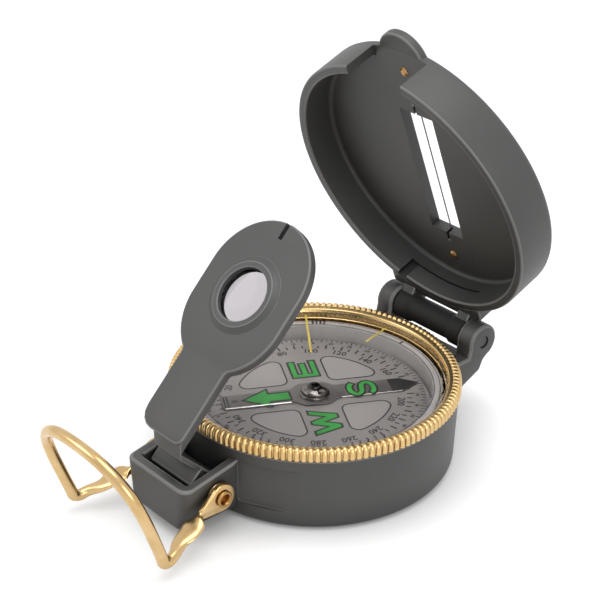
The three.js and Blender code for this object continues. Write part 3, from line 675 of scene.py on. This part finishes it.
def rib():
    """One rounded rib, up the ring's side and over its top edge."""
    spine = [(RIB_R, 15.42, 0), (RIB_R, 15.5, 0.55), (RIB_R, 16.75, 0.55), (27.25, 17.15, 0.55),
             (26.9, 17.38, 0.48), (26.5, 17.42, 0.4), (26.2, 17.32, 0.1)]
    lean = [0, 0, 0, 35, 65, 90, 115]
    half = math.pi * RIB_R / RIBS * 0.94
    rings = []
    for (radius, z, rise), angle in zip(spine, lean):
        out = Vector((math.cos(math.radians(angle)), 0, math.sin(math.radians(angle))))
        row = []
        for k in range(6):
            a = math.pi * k / 5
            p = Vector((radius, 0, z)) + out * (rise * math.sin(a))
            row.append((p.x, half * math.cos(a) * (1 if rise else 0.5), p.z))
        rings.append(row)
    return joined_rings(rings)


bezel = turned(bezel_profile, 180)
piece("bezel_turned_ring", bezel, "bezel", RING_BRASS, ["bezel_ring"], sharp=40)
ribs = copies(rib(), RIBS, 360 / RIBS, 0, BEZEL_BRASS)
piece("bezel_ribs", ribs, "bezel", BEZEL_BRASS, (), sharp=40)


def radial_strip(azimuth, inner, outer, width, z):
    """A thin printed line along a radius."""
    strip = block(-width / 2, width / 2, inner, outer, z, z + PRINT)
    return moved(strip, Matrix.Rotation(math.radians(-azimuth), 4, "Z"))


lines = together([radial_strip(-52, 9.1, 24.1, MARK_LINE_W, MARK_LINE_Z),
                  radial_strip(-11, 17, 23.9, MARK_LINE_W, MARK_LINE_Z)])
piece("bezel_marking_lines", lines, "bezel", YELLOW)

# Capsule: a pale ring under the cover with thin circles and marks on it
ring_profile = soften([(22.7, 14.7, 0), (24.3, 14.7, 0), (24.3, MARK_Z, 0.05), (22.7, MARK_Z, 0.05)], 2)
piece("capsule_rim", turned(ring_profile, 120), "case", SEAL, ["capsule_gasket"])


def circle_line(radius, width, z):
    """A thin printed circle."""
    return turned([(radius, z), (radius + width, z), (radius + width, z + PRINT), (radius, z + PRINT)])


marks = [circle_line(22.72, 0.14, MARK_Z), circle_line(23.85, 0.12, MARK_Z)]
marks += [radial_strip(-48.6 + 1.9 * k, 22.95, 24.2, 0.4, MARK_Z) for k in range(4)]
marks += [radial_strip(0, 22.8, 23.8, 0.5, MARK_Z)]
piece("capsule_marks", together(marks), "case", INK)

# Card: a printed disc with four pale panels, turned to its bearing at rest


def panel_outline(side_x, side_y, grow):
    """One of the four printed panels between the spokes."""
    inner_x, inner_y, outer, corner = 4.7, 4.2, 14.8, 1.5
    near = (inner_x + corner, inner_y + corner)
    beside = (math.sqrt((outer - corner) ** 2 - near[1] ** 2), near[1])
    above = (near[0], math.sqrt((outer - corner) ** 2 - near[0] ** 2))
    first = math.degrees(math.atan2(beside[1], beside[0]))
    last = math.degrees(math.atan2(above[1], above[0]))
    outline = arc(*near, corner + grow, 180, 270, 6) + arc(*beside, corner + grow, 270, 360 + first, 8)
    outline += arc(0, 0, outer + grow, first, last, 14)[1:-1] + arc(*above, corner + grow, last, 180, 8)
    return [(side_x * x, side_y * y) for x, y in outline]


quarters = ((1, 1), (-1, 1), (-1, -1), (1, -1))
disc = slab([arc(0, 0, CARD_R, 0, 358, 179), arc(0, 0, 1.7, 0, 345, 23)], CARD_TOP - CARD_Z, 0.04)
piece("card_disc", moved(disc, lift((CARD_TOP + CARD_Z) / 2)), "card", CARD, ["compass_card"],
      CARD_TURN)


def on_card(bm, z=CARD_TOP):
    """A print laid on the card, or at another height."""
    return moved(bm, lift(z + PRINT / 2))


def letter_e(x, y, wide, high, stroke):
    """The outline of an E whose left edge is at x."""
    top, mid = y + high / 2, stroke / 2
    return [(x, y - high / 2), (x + wide, y - high / 2), (x + wide, y - high / 2 + stroke),
            (x + stroke, y - high / 2 + stroke), (x + stroke, y - mid), (x + wide * 0.86, y - mid),
            (x + wide * 0.86, y + mid), (x + stroke, y + mid), (x + stroke, top - stroke),
            (x + wide, top - stroke), (x + wide, top), (x, top)]


def letter_w(x, y, wide, high, stroke):
    """The outline of a W whose left edge is at x."""
    low, top = y - high / 2, y + high / 2
    q = wide / 4
    s = stroke / 2
    return [(x - s, top), (x + q - s, low), (x + q + s, low), (x + 2 * q, top - 2.2 * stroke),
            (x + 3 * q - s, low), (x + 3 * q + s, low), (x + 4 * q + s, top), (x + 4 * q - s, top),
            (x + 3 * q, low + 2.0 * stroke), (x + 2 * q + s * 0.8, top), (x + 2 * q - s * 0.8, top),
            (x + q, low + 2.0 * stroke), (x + s, top)]


def letter_s(x, y, wide, high, stroke):
    """The outline of an S about (x, y)."""
    r = (high - stroke) / 4
    rx = (wide - stroke) / 2
    top_turn = [math.radians(a) for a in range(20, 271, 25)]
    low_turn = [math.radians(a) for a in range(90, -161, -25)]
    top = [(x + rx * math.cos(a), y + r + r * math.sin(a)) for a in top_turn]
    low = [(x + rx * math.cos(a), y - r + r * math.sin(a)) for a in low_turn]
    spine = [Vector(p) for p in top[:-1] + low]
    left, right = [], []
    for i, p in enumerate(spine):
        ahead = (spine[min(i + 1, len(spine) - 1)] - spine[max(i - 1, 0)]).normalized()
        side = Vector((-ahead.y, ahead.x)) * stroke / 2
        left.append(tuple(p + side))
        right.append(tuple(p - side))
    return left + right[::-1]


ARROW = [(-1.2, 4.9), (1.2, 4.9), (1.2, 9.0), (2.75, 9.0), (0, 13.5), (-2.75, 9.0), (-1.2, 9.0)]
signs = [(letter_e(6.8, 0, 5.7, 5.0, 0.88), CARD_TOP), (letter_w(-13.3, 0, 7.0, 5.0, 0.92), CARD_TOP),
         (letter_s(0, -9.3, 4.9, 5.6, 0.85), BAR_TOP), (ARROW, BAR_TOP)]


def grown(outline, by):
    """The outline moved outwards by that much."""
    area = sum(a[0] * b[1] - b[0] * a[1] for a, b in zip(outline, outline[1:] + outline[:1]))
    sign = 1 if area > 0 else -1
    out = []
    for i, p in enumerate(outline):
        here = Vector(p)
        a = (here - Vector(outline[i - 1])).normalized()
        b = (Vector(outline[(i + 1) % len(outline)]) - here).normalized()
        normal = Vector((a.y + b.y, -a.x - b.x)) * sign
        if normal.length < 1e-6:
            normal = Vector((a.y, -a.x)) * sign
        normal.normalize()
        reach = by / max(0.45, normal.dot(Vector((a.y, -a.x)) * sign))
        out.append(tuple(here + normal * reach))
    return out


green = together([on_card(slab([shape], PRINT), z + PRINT) for shape, z in signs])
piece("card_green_signs", green, "card", GREEN, (), CARD_TURN)

panels = together([on_card(slab([panel_outline(*q, 0)], PRINT / 2)) for q in quarters])
piece("card_pale_panels", panels, "card", PANEL, (), CARD_TURN)

ink = [on_card(slab([grown(shape, 0.42)], PRINT), z) for shape, z in signs]
ink += [on_card(slab([panel_outline(*q, 0.3), panel_outline(*q, 0)], PRINT)) for q in quarters]
for degree in range(0, 360, 20):
    if degree in (0, 180):
        continue
    number = moved(lettering(str(degree), DEGREE_SIZE, PRINT), Matrix.Translation((0, DEGREE_R, 0)))
    ink.append(on_card(moved(number, Matrix.Rotation(math.radians(-degree), 4, "Z"))))
for k in range(OUTER_NUMBERS):
    number = moved(lettering(str(2 * k), OUTER_SIZE, PRINT), Matrix.Translation((0, OUTER_R, 0)))
    turn = math.radians(-360 / OUTER_NUMBERS * k)
    ink.append(on_card(moved(number, Matrix.Rotation(turn, 4, "Z"))))
tick = (CARD_TOP, CARD_TOP + PRINT)
ink += [copies(block(-0.17, 0.17, 17.75, 19.2, *tick), 36, 10, 0, INK),
        copies(block(-0.14, 0.14, 17.75, 18.7, *tick), 36, 10, 5, INK),
        copies(block(-0.1, 0.1, 20.35, 21.3, *tick), 64, 5.625, 0, INK),
        copies(block(-0.08, 0.08, 20.7, 21.3, *tick), 64, 5.625, 2.8125, INK)]
tail_half = BAR_HALF - 0.15
tail = [(-tail_half, -14.9), (-tail_half, -17.3), (0, -20.7), (tail_half, -17.3), (tail_half, -14.9)]
ink.append(on_card(slab([tail], PRINT), BAR_TOP))
ink.append(on_card(moved(lettering("0", 1.7, PRINT), Matrix.Translation((0, 15.4, 0))), BAR_TOP))
for y in (16.7, 17.3):
    dash = [(-1.9, y), (1.9, y), (1.9, y + 0.28), (-1.9, y + 0.28)]
    ink.append(on_card(slab([dash], PRINT), BAR_TOP))
piece("card_black_print", together(ink), "card", INK, (), CARD_TURN)

bar_outline = soften([(-BAR_HALF, 18, 0.2), (-BAR_HALF, 4.3, 0.6), (-4.0, 2.4, 1.5), (-4.0, -2.4, 1.5),
                      (-BAR_HALF, -4.3, 0.6), (-BAR_HALF, -17.2, 0.3), (0, -20.8, 0.2),
                      (BAR_HALF, -17.2, 0.3), (BAR_HALF, -4.3, 0.6), (4.0, -2.4, 1.5), (4.0, 2.4, 1.5),
                      (BAR_HALF, 4.3, 0.6), (BAR_HALF, 18, 0.2)])
bar = slab([bar_outline, arc(0, 0, 1.2, 0, 345, 23)], BAR_TOP - CARD_TOP - 0.05, 0.06)
bar = moved(bar, lift((BAR_TOP + CARD_TOP + 0.05) / 2))
piece("magnet_strip", bar, "card", BAR_STEEL, ["magnet_bar"], CARD_TURN)

# Bright beads along the bar's edges: their reflection and near-white colour paint the highlight on the bar's
# side
bar_edge = Matrix.Translation((-BAR_HALF, 0, BAR_TOP - 0.05)) @ Matrix.Rotation(-math.pi / 2, 4, "X")
beads = []
for r, y0, y1 in ((0.16, 4.9, 17.6), (0.07, -16.9, -4.9)):
    bead = turned(soften([(0, y0, 0), (r, y0, 0.05), (r, y1, 0.05), (0, y1, 0)]), 12)
    beads.append(moved(bead, bar_edge))
piece("strip_bright_edges", together(beads), "card", BAR_EDGE_HIGHLIGHT, (), CARD_TURN)

hub = soften([(1.0, 0, 0), (2.85, 0, 0.05), (3.0, 0.15, 0.1), (2.85, 0.3, 0.12), (2.6, 0.32, 0.05),
              (2.45, 0.95, 0.5), (1.5, 1.4, 0.4), (1.15, 1.45, 0.05), (1.05, 1.9, 0.18), (0.62, 1.95, 0.08),
              (0.48, 1.6, 0.05), (0.48, 1.2, 0), (0, 1.2, 0), (0, 0.72, 0), (1.0, 0.72, 0)], 6)
hub = turned([(r, CAP_Z + z) for r, z in hub], 64)
piece("hub_cap", hub, "card", HUB_STEEL, ["bearing_cap"])

# Lid: a cup with a sighting slot, a thumb tab and two cuts in its wall, and a hinge block with two arms
# and a barrel between them whose near-black colour is painted shade from the lid
SET_BACK = Matrix.Translation((0, LID_Y, 0))
lid_profile = soften([(0, LID_TOP, 0), (LID_R, LID_TOP, 1.5), (LID_R, LID_RIM, 0.35),
                      (LID_R - LID_WALL, LID_RIM, 0.35), (LID_R - LID_WALL, LID_IN, 0.9), (0, LID_IN, 0)], 6)
lid_cup = turned(lid_profile, 180)
tab_y = -LID_R + 2.0
tab_outline = [(5.6, -LID_R + 6), (-5.6, -LID_R + 6), (-5.6, tab_y)] + arc(0, tab_y, 5.5, 180, 360, 24)
tab = moved(slab([tab_outline], 1.85, 0.35), lift(LID_IN + 0.928))
tab_gap = block(-6.85, 6.85, -LID_R - 1, -LID_R + 5.03, LID_RIM - 1, LID_IN - 0.03)
lid_edge = LID_Y + LID_R
block_top = LID_RIM + 5.4
block_outline = soften([(-BLOCK_HALF, lid_edge - 3.0, 0), (-8, lid_edge - 1.4, 0), (8, lid_edge - 1.4, 0),
                        (BLOCK_HALF, lid_edge - 3.0, 0), (BLOCK_HALF, lid_edge + 0.3, 0.8),
                        (-BLOCK_HALF, lid_edge + 0.3, 0.8)])
hinge_block = slab([block_outline], 5.3, 0.3)


def wall_cut(inner, outer, first, last, low, high):
    """A curved slot in the lid's wall, between two angles and two heights above the rim."""
    outline = arc(0, LID_Y, outer, first, last, 16) + arc(0, LID_Y, inner, last, first, 16)
    return moved(slab([outline], high - low), lift(LID_RIM + (low + high) / 2))


wall_slot = wall_cut(26.0, 27.1, 70, 107, 3.7, 4.1)
wall_notch = wall_cut(26.0, 27.7, 106.6, 111, -1, 4.13)
arm_outline = [(lid_edge - 0.5, LID_RIM + 0.3), (HINGE.y - 2.7, HINGE.z)]
arm_outline += arc(HINGE.y, HINGE.z, 3.0, 180, 420, 28)
arm_outline += [(lid_edge + 0.3, block_top - 0.2), (lid_edge - 0.5, block_top - 0.2)]
barrel_end = LID_ARM_X[1] + 0.08
barrel_profile = soften([(0, -barrel_end, 0), (KNUCKLE_R, -barrel_end, 0.4), (KNUCKLE_R, -5.9, 0.4),
                         (2.7, -5.2, 0.6), (2.7, 5.2, 0.6), (KNUCKLE_R, 5.9, 0.4),
                         (KNUCKLE_R, barrel_end, 0.4), (0, barrel_end, 0)], 4)
pin_bore = (-10, 10, HINGE.y, HINGE.z, PIN_R + 0.15)
sight_slot = block(-SLOT_HALF, SLOT_HALF, *SLOT_Y, LID_IN - 1, LID_TOP + 1)
wire_groove = block(-0.3, 0.3, SLOT_Y[0] - 2.5, SLOT_Y[1] + 2.5, LID_IN - 1, LID_IN + 1.5)
lid = shaped(moved(lid_cup, SET_BACK), [
    ("DIFFERENCE", moved(tab_gap, SET_BACK)),
    ("UNION", moved(tab, SET_BACK)),
    ("UNION", moved(hinge_block, lift((LID_RIM + block_top) / 2 + 0.06))),
    ("UNION", block(-8.8, 8.8, lid_edge - 1, lid_edge + 0.75, LID_RIM + 0.1, LID_RIM + 3)),
    ("DIFFERENCE", wall_slot),
    ("DIFFERENCE", wall_notch),
    ("UNION", across(arm_outline, *LID_ARM_X, 0.3)),
    ("UNION", across(arm_outline, -LID_ARM_X[1], -LID_ARM_X[0], 0.3)),
    ("DIFFERENCE", moved(sight_slot, SET_BACK)),
    ("DIFFERENCE", moved(wire_groove, SET_BACK)),
    ("DIFFERENCE", rod_x(*pin_bore)),
])
barrel = shaped(along_x(barrel_profile, HINGE.y, HINGE.z), [("DIFFERENCE", rod_x(*pin_bore))])
# The barrel's near-black colour is painted shade
piece("lid_barrel", barrel, "lid", BARREL_SHADE_GREY, (), LID_OPEN)
piece("lid_cover", lid, "lid", LID_GREY, ["lid_shell"], LID_OPEN)


def dot(y):
    """A low round stud inside the lid."""
    profile = soften([(0, LID_IN + 0.5, 0), (1.0, LID_IN + 0.5, 0), (1.0, LID_IN - 0.1, 0.25),
                      (0.55, LID_IN - 0.4, 0.5), (0, LID_IN - 0.46, 0)], 4)
    return moved(turned(profile, 28), Matrix.Translation((0, LID_Y + y, 0)))


piece("sight_stud_front", dot(-23.6), "lid", COPPER, ["sight_dot_front"], LID_OPEN)
piece("sight_stud_rear", dot(21.8), "lid", COPPER, ["sight_dot_rear"], LID_OPEN)
wire_ends = (SLOT_Y[0] - 2.4, SLOT_Y[1] + 2.4)
strand_r = 0.13
strand = turned([(0, wire_ends[0]), (strand_r, wire_ends[0]), (strand_r, wire_ends[1]),
                 (0, wire_ends[1])], 16)
strand = moved(strand, lift(LID_IN + 1.2) @ Matrix.Rotation(-math.pi / 2, 4, "X"))
hook_profile = soften([(0, -0.35, 0), (0.45, -0.35, 0.2), (0.45, 0.35, 0.2), (0, 0.35, 0)])
hooks = [moved(turned(hook_profile, 16), Matrix.Translation((0, y, LID_IN + 0.2)))
         for y in (SLOT_Y[0] - 2.2, SLOT_Y[1] + 2.2)]
sight = moved(together([strand] + hooks), SET_BACK)
piece("sight_wire", sight, "lid", WIRE, ["sighting_wire"], LID_OPEN)

# Lens arm: a keyhole plate with a sighting notch on a web that turns about the pivot
low, high = LENS_V - 3.5, LENS_V + 3.5
waist = math.degrees(math.asin(min(1, (NECK_HALF + 0.3) / HEAD_R)))
head = arc(0, low, HEAD_R, -90 + waist, 0, 12) + arc(0, high, HEAD_R, 0, 180, 48)
head += arc(0, low, HEAD_R, 180, 270 - waist, 12)
corner_v = low - HEAD_R * math.cos(math.radians(waist)) - 0.6
crown = high + HEAD_R
notch = soften([(0.5, crown + 1, 0), (0.5, crown - 3.3, 0.2), (-0.5, crown - 3.3, 0.2), (-0.5, crown + 1, 0)])
foot = soften([(0, 12, 0), (-NECK_HALF, 12, 0), (-NECK_HALF, PLATE_FOOT, 3.4), (NECK_HALF, PLATE_FOOT, 1.6),
               (NECK_HALF, 12, 0)])[2:-1]
keyhole = foot + [(NECK_HALF, corner_v)] + head + [(-NECK_HALF, corner_v)]
lens_hole = arc(0, LENS_V, LENS_HOLE_R, 0, 352.5, 47)
plate = slab([keyhole, lens_hole], PLATE_FRONT - PLATE_BACK, 0.32)
plate = moved(plate, lift((PLATE_FRONT + PLATE_BACK) / 2))
web = soften([(1.75, 0, 0), (2.65, 0, 0), (2.65, PLATE_BACK - 0.05, 0.4), (5.8, PLATE_BACK - 0.05, 0),
              (5.8, PLATE_FRONT - 0.4, 0), (PLATE_FOOT + 0.35, PLATE_FRONT - 0.5, 0),
              (1.75, PLATE_FRONT - 2.9, 0.4)])
knee = soften([(-2.2, 0, 0), (2.6, 0, 0), (2.6, 4.3, 0.3), (-1.2, 4.3, 0.5), (-2.5, 1.6, 0.6)])
plate = shaped(plate, [
    ("DIFFERENCE", moved(slab([notch], 6), lift(PLATE_BACK + 1))),
    ("DIFFERENCE", moved(slab([arc(0, LENS_V, 5.65, 0, 352.5, 47)], 2), lift(PLATE_FRONT - 0.2))),
])
sleeve = soften([(0, -NECK_HALF, 0), (2.9, -NECK_HALF, 0.3), (2.9, NECK_HALF, 0.3), (0, NECK_HALF, 0)])
knuckle = shaped(across(knee, -NECK_HALF + 0.1, NECK_HALF - 0.1, 0.25), [
    ("UNION", across(web, *WEB_X, 0.12)),
    ("UNION", along_x(sleeve, 0, 0)),
    ("DIFFERENCE", rod_x(-8, 8, 0, 0, RIVET_R + 0.15)),
])
piece("lens_plate", together([plate, knuckle]), "lens_arm", GREY, ["lens_bracket"], ARM_UP)
rim = soften([(5.12, PLATE_FRONT - 0.12, 0), (5.25, PLATE_FRONT + 0.75, 0.2), (6.35, PLATE_FRONT + 0.75, 0.4),
              (7.3, PLATE_FRONT + 0.15, 0.3), (7.7, PLATE_FRONT + 0.02, 0.1),
              (7.7, PLATE_FRONT - 0.12, 0)], 4)
rim = moved(turned(rim, 96), Matrix.Translation((0, LENS_V, 0)))
piece("lens_rim", rim, "lens_arm", GREY, ["lens_retaining_ring"], ARM_UP)
glass_back = PLATE_FRONT - 1.15
glass_front = PLATE_FRONT - 0.35


def dome(z, rise, steps=8):
    """The rounded side of the lens, from its axis outwards."""
    return [(4.9 * k / steps, z + rise * (1 - (k / steps) ** 2)) for k in range(steps + 1)]


bead = dome(glass_back, -0.25) + [(5.5, glass_back), (5.5, glass_front)] + dome(glass_front, 0.2)[::-1]
bead = moved(turned(bead, 64), Matrix.Translation((0, LENS_V, 0)))
piece("lens_bead", bead, "lens_arm", LENS, ["magnifier_lens"], ARM_UP)

# Pivot rivet, its washers and the thumb loop
rivet_end = [(1.4, 10.4, 0), (1.55, 10.42, 0.05), (1.66, 10.65, 0.15), (1.45, 10.92, 0.15), (1.1, 10.92, 0.1),
             (0.92, 10.5, 0.1), (0.92, 9.4, 0), (0, 9.4, 0)]
rivet_profile = soften([(r, -x, s) for r, x, s in rivet_end[::-1]] + rivet_end, 4)
rivet = along_x(rivet_profile, PIVOT.y, PIVOT.z, 40)
piece("tube_rivet", rivet, "case", RIVET, ["pivot_rivet"])
for side, name in ((1, "right"), (-1, "left")):
    x0, x1 = (side * x for x in WASHER_X)
    washer_profile = soften([(1.5, x0, 0), (2.5, x0, 0.1), (2.5, x1, 0.1), (1.5, x1, 0)], 2)
    washer = along_x(washer_profile, PIVOT.y, PIVOT.z)
    piece("washer_" + name, washer, "case", BRASS, ["loop_washer_" + name])

BEND = Vector((0, -15.6, -5.2))
STRIP = BEND.normalized()
LEAN = Vector((0, math.cos(math.radians(109.5)), math.sin(math.radians(109.5))))
EYE_MID = sum(EYE_X) / 2


def smooth_path(points, steps):
    """Points along a smooth curve through the given ones (each a list of numbers)."""
    out = []
    for i in range(len(points) - 1):
        p = [points[max(0, min(len(points) - 1, i + k))] for k in (-1, 0, 1, 2)]
        for s in range(steps):
            t = s / steps
            out.append([0.5 * (2 * b + (c - a) * t + (2 * a - 5 * b + 4 * c - d) * t * t
                               + (3 * b - a - 3 * c + d) * t ** 3) for a, b, c, d in zip(*p)])
    return out + [points[-1]]


def thumb_loop():
    """A wire bow whose two ends flatten and twist into strips beside the case."""
    def strip(x, d, wide, thick, twist, dz=0):
        p = STRIP * d
        return [x, p.y, p.z + dz, wide, thick, twist]

    def bow(x, s):
        p = BEND + LEAN * s
        return [x, p.y, p.z, WIRE_R, WIRE_R, 90]

    length = BEND.length
    right = [strip(EYE_MID, 3.3, 1.1, 0.5, 0),
             strip(EYE_MID, 4.6, 0.85, 0.55, 10),
             strip(EYE_MID + 0.2, 5.7, 0.85, 0.75, 60),
             strip(EYE_MID + 0.8, 7.0, 1.95, 0.6, 90),
             strip(EYE_MID + 1.4, 9.0, 2.1, 0.6, 90),
             strip(EYE_MID + 1.9, 11.6, 1.55, 0.75, 90),
             strip(LOOP_HALF - 0.9, length - 2.6, WIRE_R, 1.0, 90),
             strip(LOOP_HALF - 0.5, length - 1.0, WIRE_R, WIRE_R, 90, 0.1),
             bow(LOOP_HALF - 0.3, 0.9),
             bow(LOOP_HALF - 0.2, 2.6),
             bow(LOOP_HALF, LOOP_RISE * 0.28),
             bow(LOOP_HALF, LOOP_RISE * 0.53),
             bow(LOOP_HALF * 0.93, LOOP_RISE * 0.72),
             bow(LOOP_HALF * 0.75, LOOP_RISE * 0.87),
             bow(LOOP_HALF * 0.44, LOOP_RISE * 0.97)]
    left = [[-p[0]] + p[1:5] + [180 - p[5]] for p in reversed(right)]
    path = smooth_path(right + [bow(0, LOOP_RISE)] + left, 6)
    flat = Vector((1, 0, 0))
    rings = []
    for i, (x, y, z, wide, thick, twist) in enumerate(path):
        before, after = path[max(0, i - 1)], path[min(len(path) - 1, i + 1)]
        ahead = Vector([b - a for a, b in zip(before[:3], after[:3])]).normalized()
        flat = (flat - ahead * flat.dot(ahead)).normalized()
        side = ahead.cross(flat)
        turn = math.radians(twist)
        u = side * math.cos(turn) + flat * math.sin(turn)
        v = ahead.cross(u)
        centre = Vector((x, y, z))
        rings.append([centre + u * (wide * math.cos(a)) + v * (thick * math.sin(a))
                      for a in (2 * math.pi * k / 16 for k in range(16))])
    return joined_rings(rings)


def eye(x0, x1):
    """The flat round end of the loop, with a bore for the rivet cut later."""
    angle = math.degrees(math.atan2(STRIP.z, STRIP.y))
    broad, narrow, reach = 2.75, 1.2, 4.1
    meet = math.degrees(math.acos((broad - narrow) / reach))
    outline = arc(0, 0, broad, angle + meet, angle + 360 - meet, 32)
    outline += arc(STRIP.y * reach, STRIP.z * reach, narrow, angle - meet, angle + meet, 14)
    return across(outline, x0, x1, 0.25)


loop = shaped(thumb_loop(), [
    ("UNION", eye(*EYE_X)),
    ("UNION", eye(-EYE_X[1], -EYE_X[0])),
    ("DIFFERENCE", rod_x(-14, 14, 0, 0, RIVET_R + 0.15)),
])
piece("thumb_loop_wire", loop, "thumb_loop", BRASS, ["thumb_loop"], Matrix.Translation(PIVOT),
      sharp=40)

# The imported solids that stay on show
shown = {"capsule_bowl": BOWL, "capsule_crystal": GLASS, "bezel_crystal": GLASS, "filler_plug": STEEL,
         "pivot_post": STEEL, "bezel_spring_ring": BEZEL_BRASS, "lid_hinge_pin": GREY, "bearing_jewel": RUBY,
         "crystal_gasket": GLASS}
for node, material in shown.items():
    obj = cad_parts[node]
    obj.data.materials.clear()
    obj.data.materials.append(material)

# ---- Stage, light and camera ------------------------------------------------------------------------------
floor_mesh = bpy.data.meshes.new("floor")
floor_mesh.from_pydata([(-2, -2, 0), (2, -2, 0), (2, 2, 0), (-2, 2, 0)], [], [(0, 1, 2, 3)])
floor = bpy.data.objects.new("floor", floor_mesh)
bpy.context.scene.collection.objects.link(floor)


def backdrop_mask(tree):
    """One where the camera sees the stage itself, or in metal or glass, and zero for the light it gives."""
    path = tree.nodes.new("ShaderNodeLightPath")
    mask = path.outputs["Is Camera Ray"]
    for ray in ("Is Glossy Ray", "Is Transmission Ray"):
        either = tree.nodes.new("ShaderNodeMath")
        either.operation = "MAXIMUM"
        tree.links.new(mask, either.inputs[0])
        tree.links.new(path.outputs[ray], either.inputs[1])
        mask = either.outputs[0]
    return mask


pale = bpy.data.materials.new("pale_floor")
pale.use_nodes = True
nodes = pale.node_tree.nodes
links = pale.node_tree.links
matt = nodes["Principled BSDF"]
matt.inputs["Base Color"].default_value = (0.5, 0.5, 0.5, 1)
matt.inputs["Roughness"].default_value = 0.9
matt.inputs["Specular IOR Level"].default_value = 0.1
glow = nodes.new("ShaderNodeMath")
glow.operation = "MULTIPLY"
glow.inputs[1].default_value = 0.9
links.new(backdrop_mask(pale.node_tree), glow.inputs[0])
# Painted shadow: the floor's glow is darkened by ambient occlusion where the compass stands close to it
shade = nodes.new("ShaderNodeAmbientOcclusion")
shade.samples = 8
shade.inputs["Distance"].default_value = 0.014
links.new(shade.outputs["Color"], matt.inputs["Emission Color"])
links.new(glow.outputs[0], matt.inputs["Emission Strength"])
floor_mesh.materials.append(pale)

world = bpy.data.worlds.new("studio")
bpy.context.scene.world = world
world.use_nodes = True
nodes = world.node_tree.nodes
links = world.node_tree.links
level = nodes.new("ShaderNodeMapRange")
level.inputs["To Min"].default_value = 0.1
level.inputs["To Max"].default_value = 1.0
links.new(backdrop_mask(world.node_tree), level.inputs["Value"])
links.new(level.outputs[0], nodes["Background"].inputs["Strength"])
nodes["Background"].inputs["Color"].default_value = (1, 1, 1, 1)


MIDDLE = Vector((0, 0, 0.02))


def soft_light(name, spot, size, power):
    """A round soft light that faces the middle of the compass."""
    lamp = bpy.data.lights.new(name, "AREA")
    lamp.shape = "DISK"
    lamp.size = size
    lamp.energy = power
    obj = bpy.data.objects.new(name, lamp)
    bpy.context.scene.collection.objects.link(obj)
    aim = (MIDDLE - Vector(spot)).to_track_quat("-Z", "Y")
    obj.matrix_world = Matrix.Translation(spot) @ aim.to_matrix().to_4x4()


soft_light("overhead", (0.05, -0.05, 0.6), 0.45, 1.35)
soft_light("right", (0.6, -0.15, 0.3), 0.35, 1.15)
soft_light("left", (-0.35, -0.35, 0.4), 0.3, 0.5)

lens = bpy.data.cameras.new("camera")
lens.lens = 97.676
lens.sensor_width = 36
lens.clip_start = 0.01
camera = bpy.data.objects.new("camera", lens)
bpy.context.scene.collection.objects.link(camera)
right = (0.66699, 0.74501, 0.00867)
up = (-0.35776, 0.31004, 0.88084)
back = (0.65355, -0.59062, 0.47333)
spot = (0.195243, -0.180369, 0.175621)
camera.matrix_world = Matrix([(right[i], up[i], back[i], spot[i]) for i in range(3)] + [(0, 0, 0, 1)])
bpy.context.scene.camera = camera
bpy.context.scene.view_settings.view_transform = "Standard"
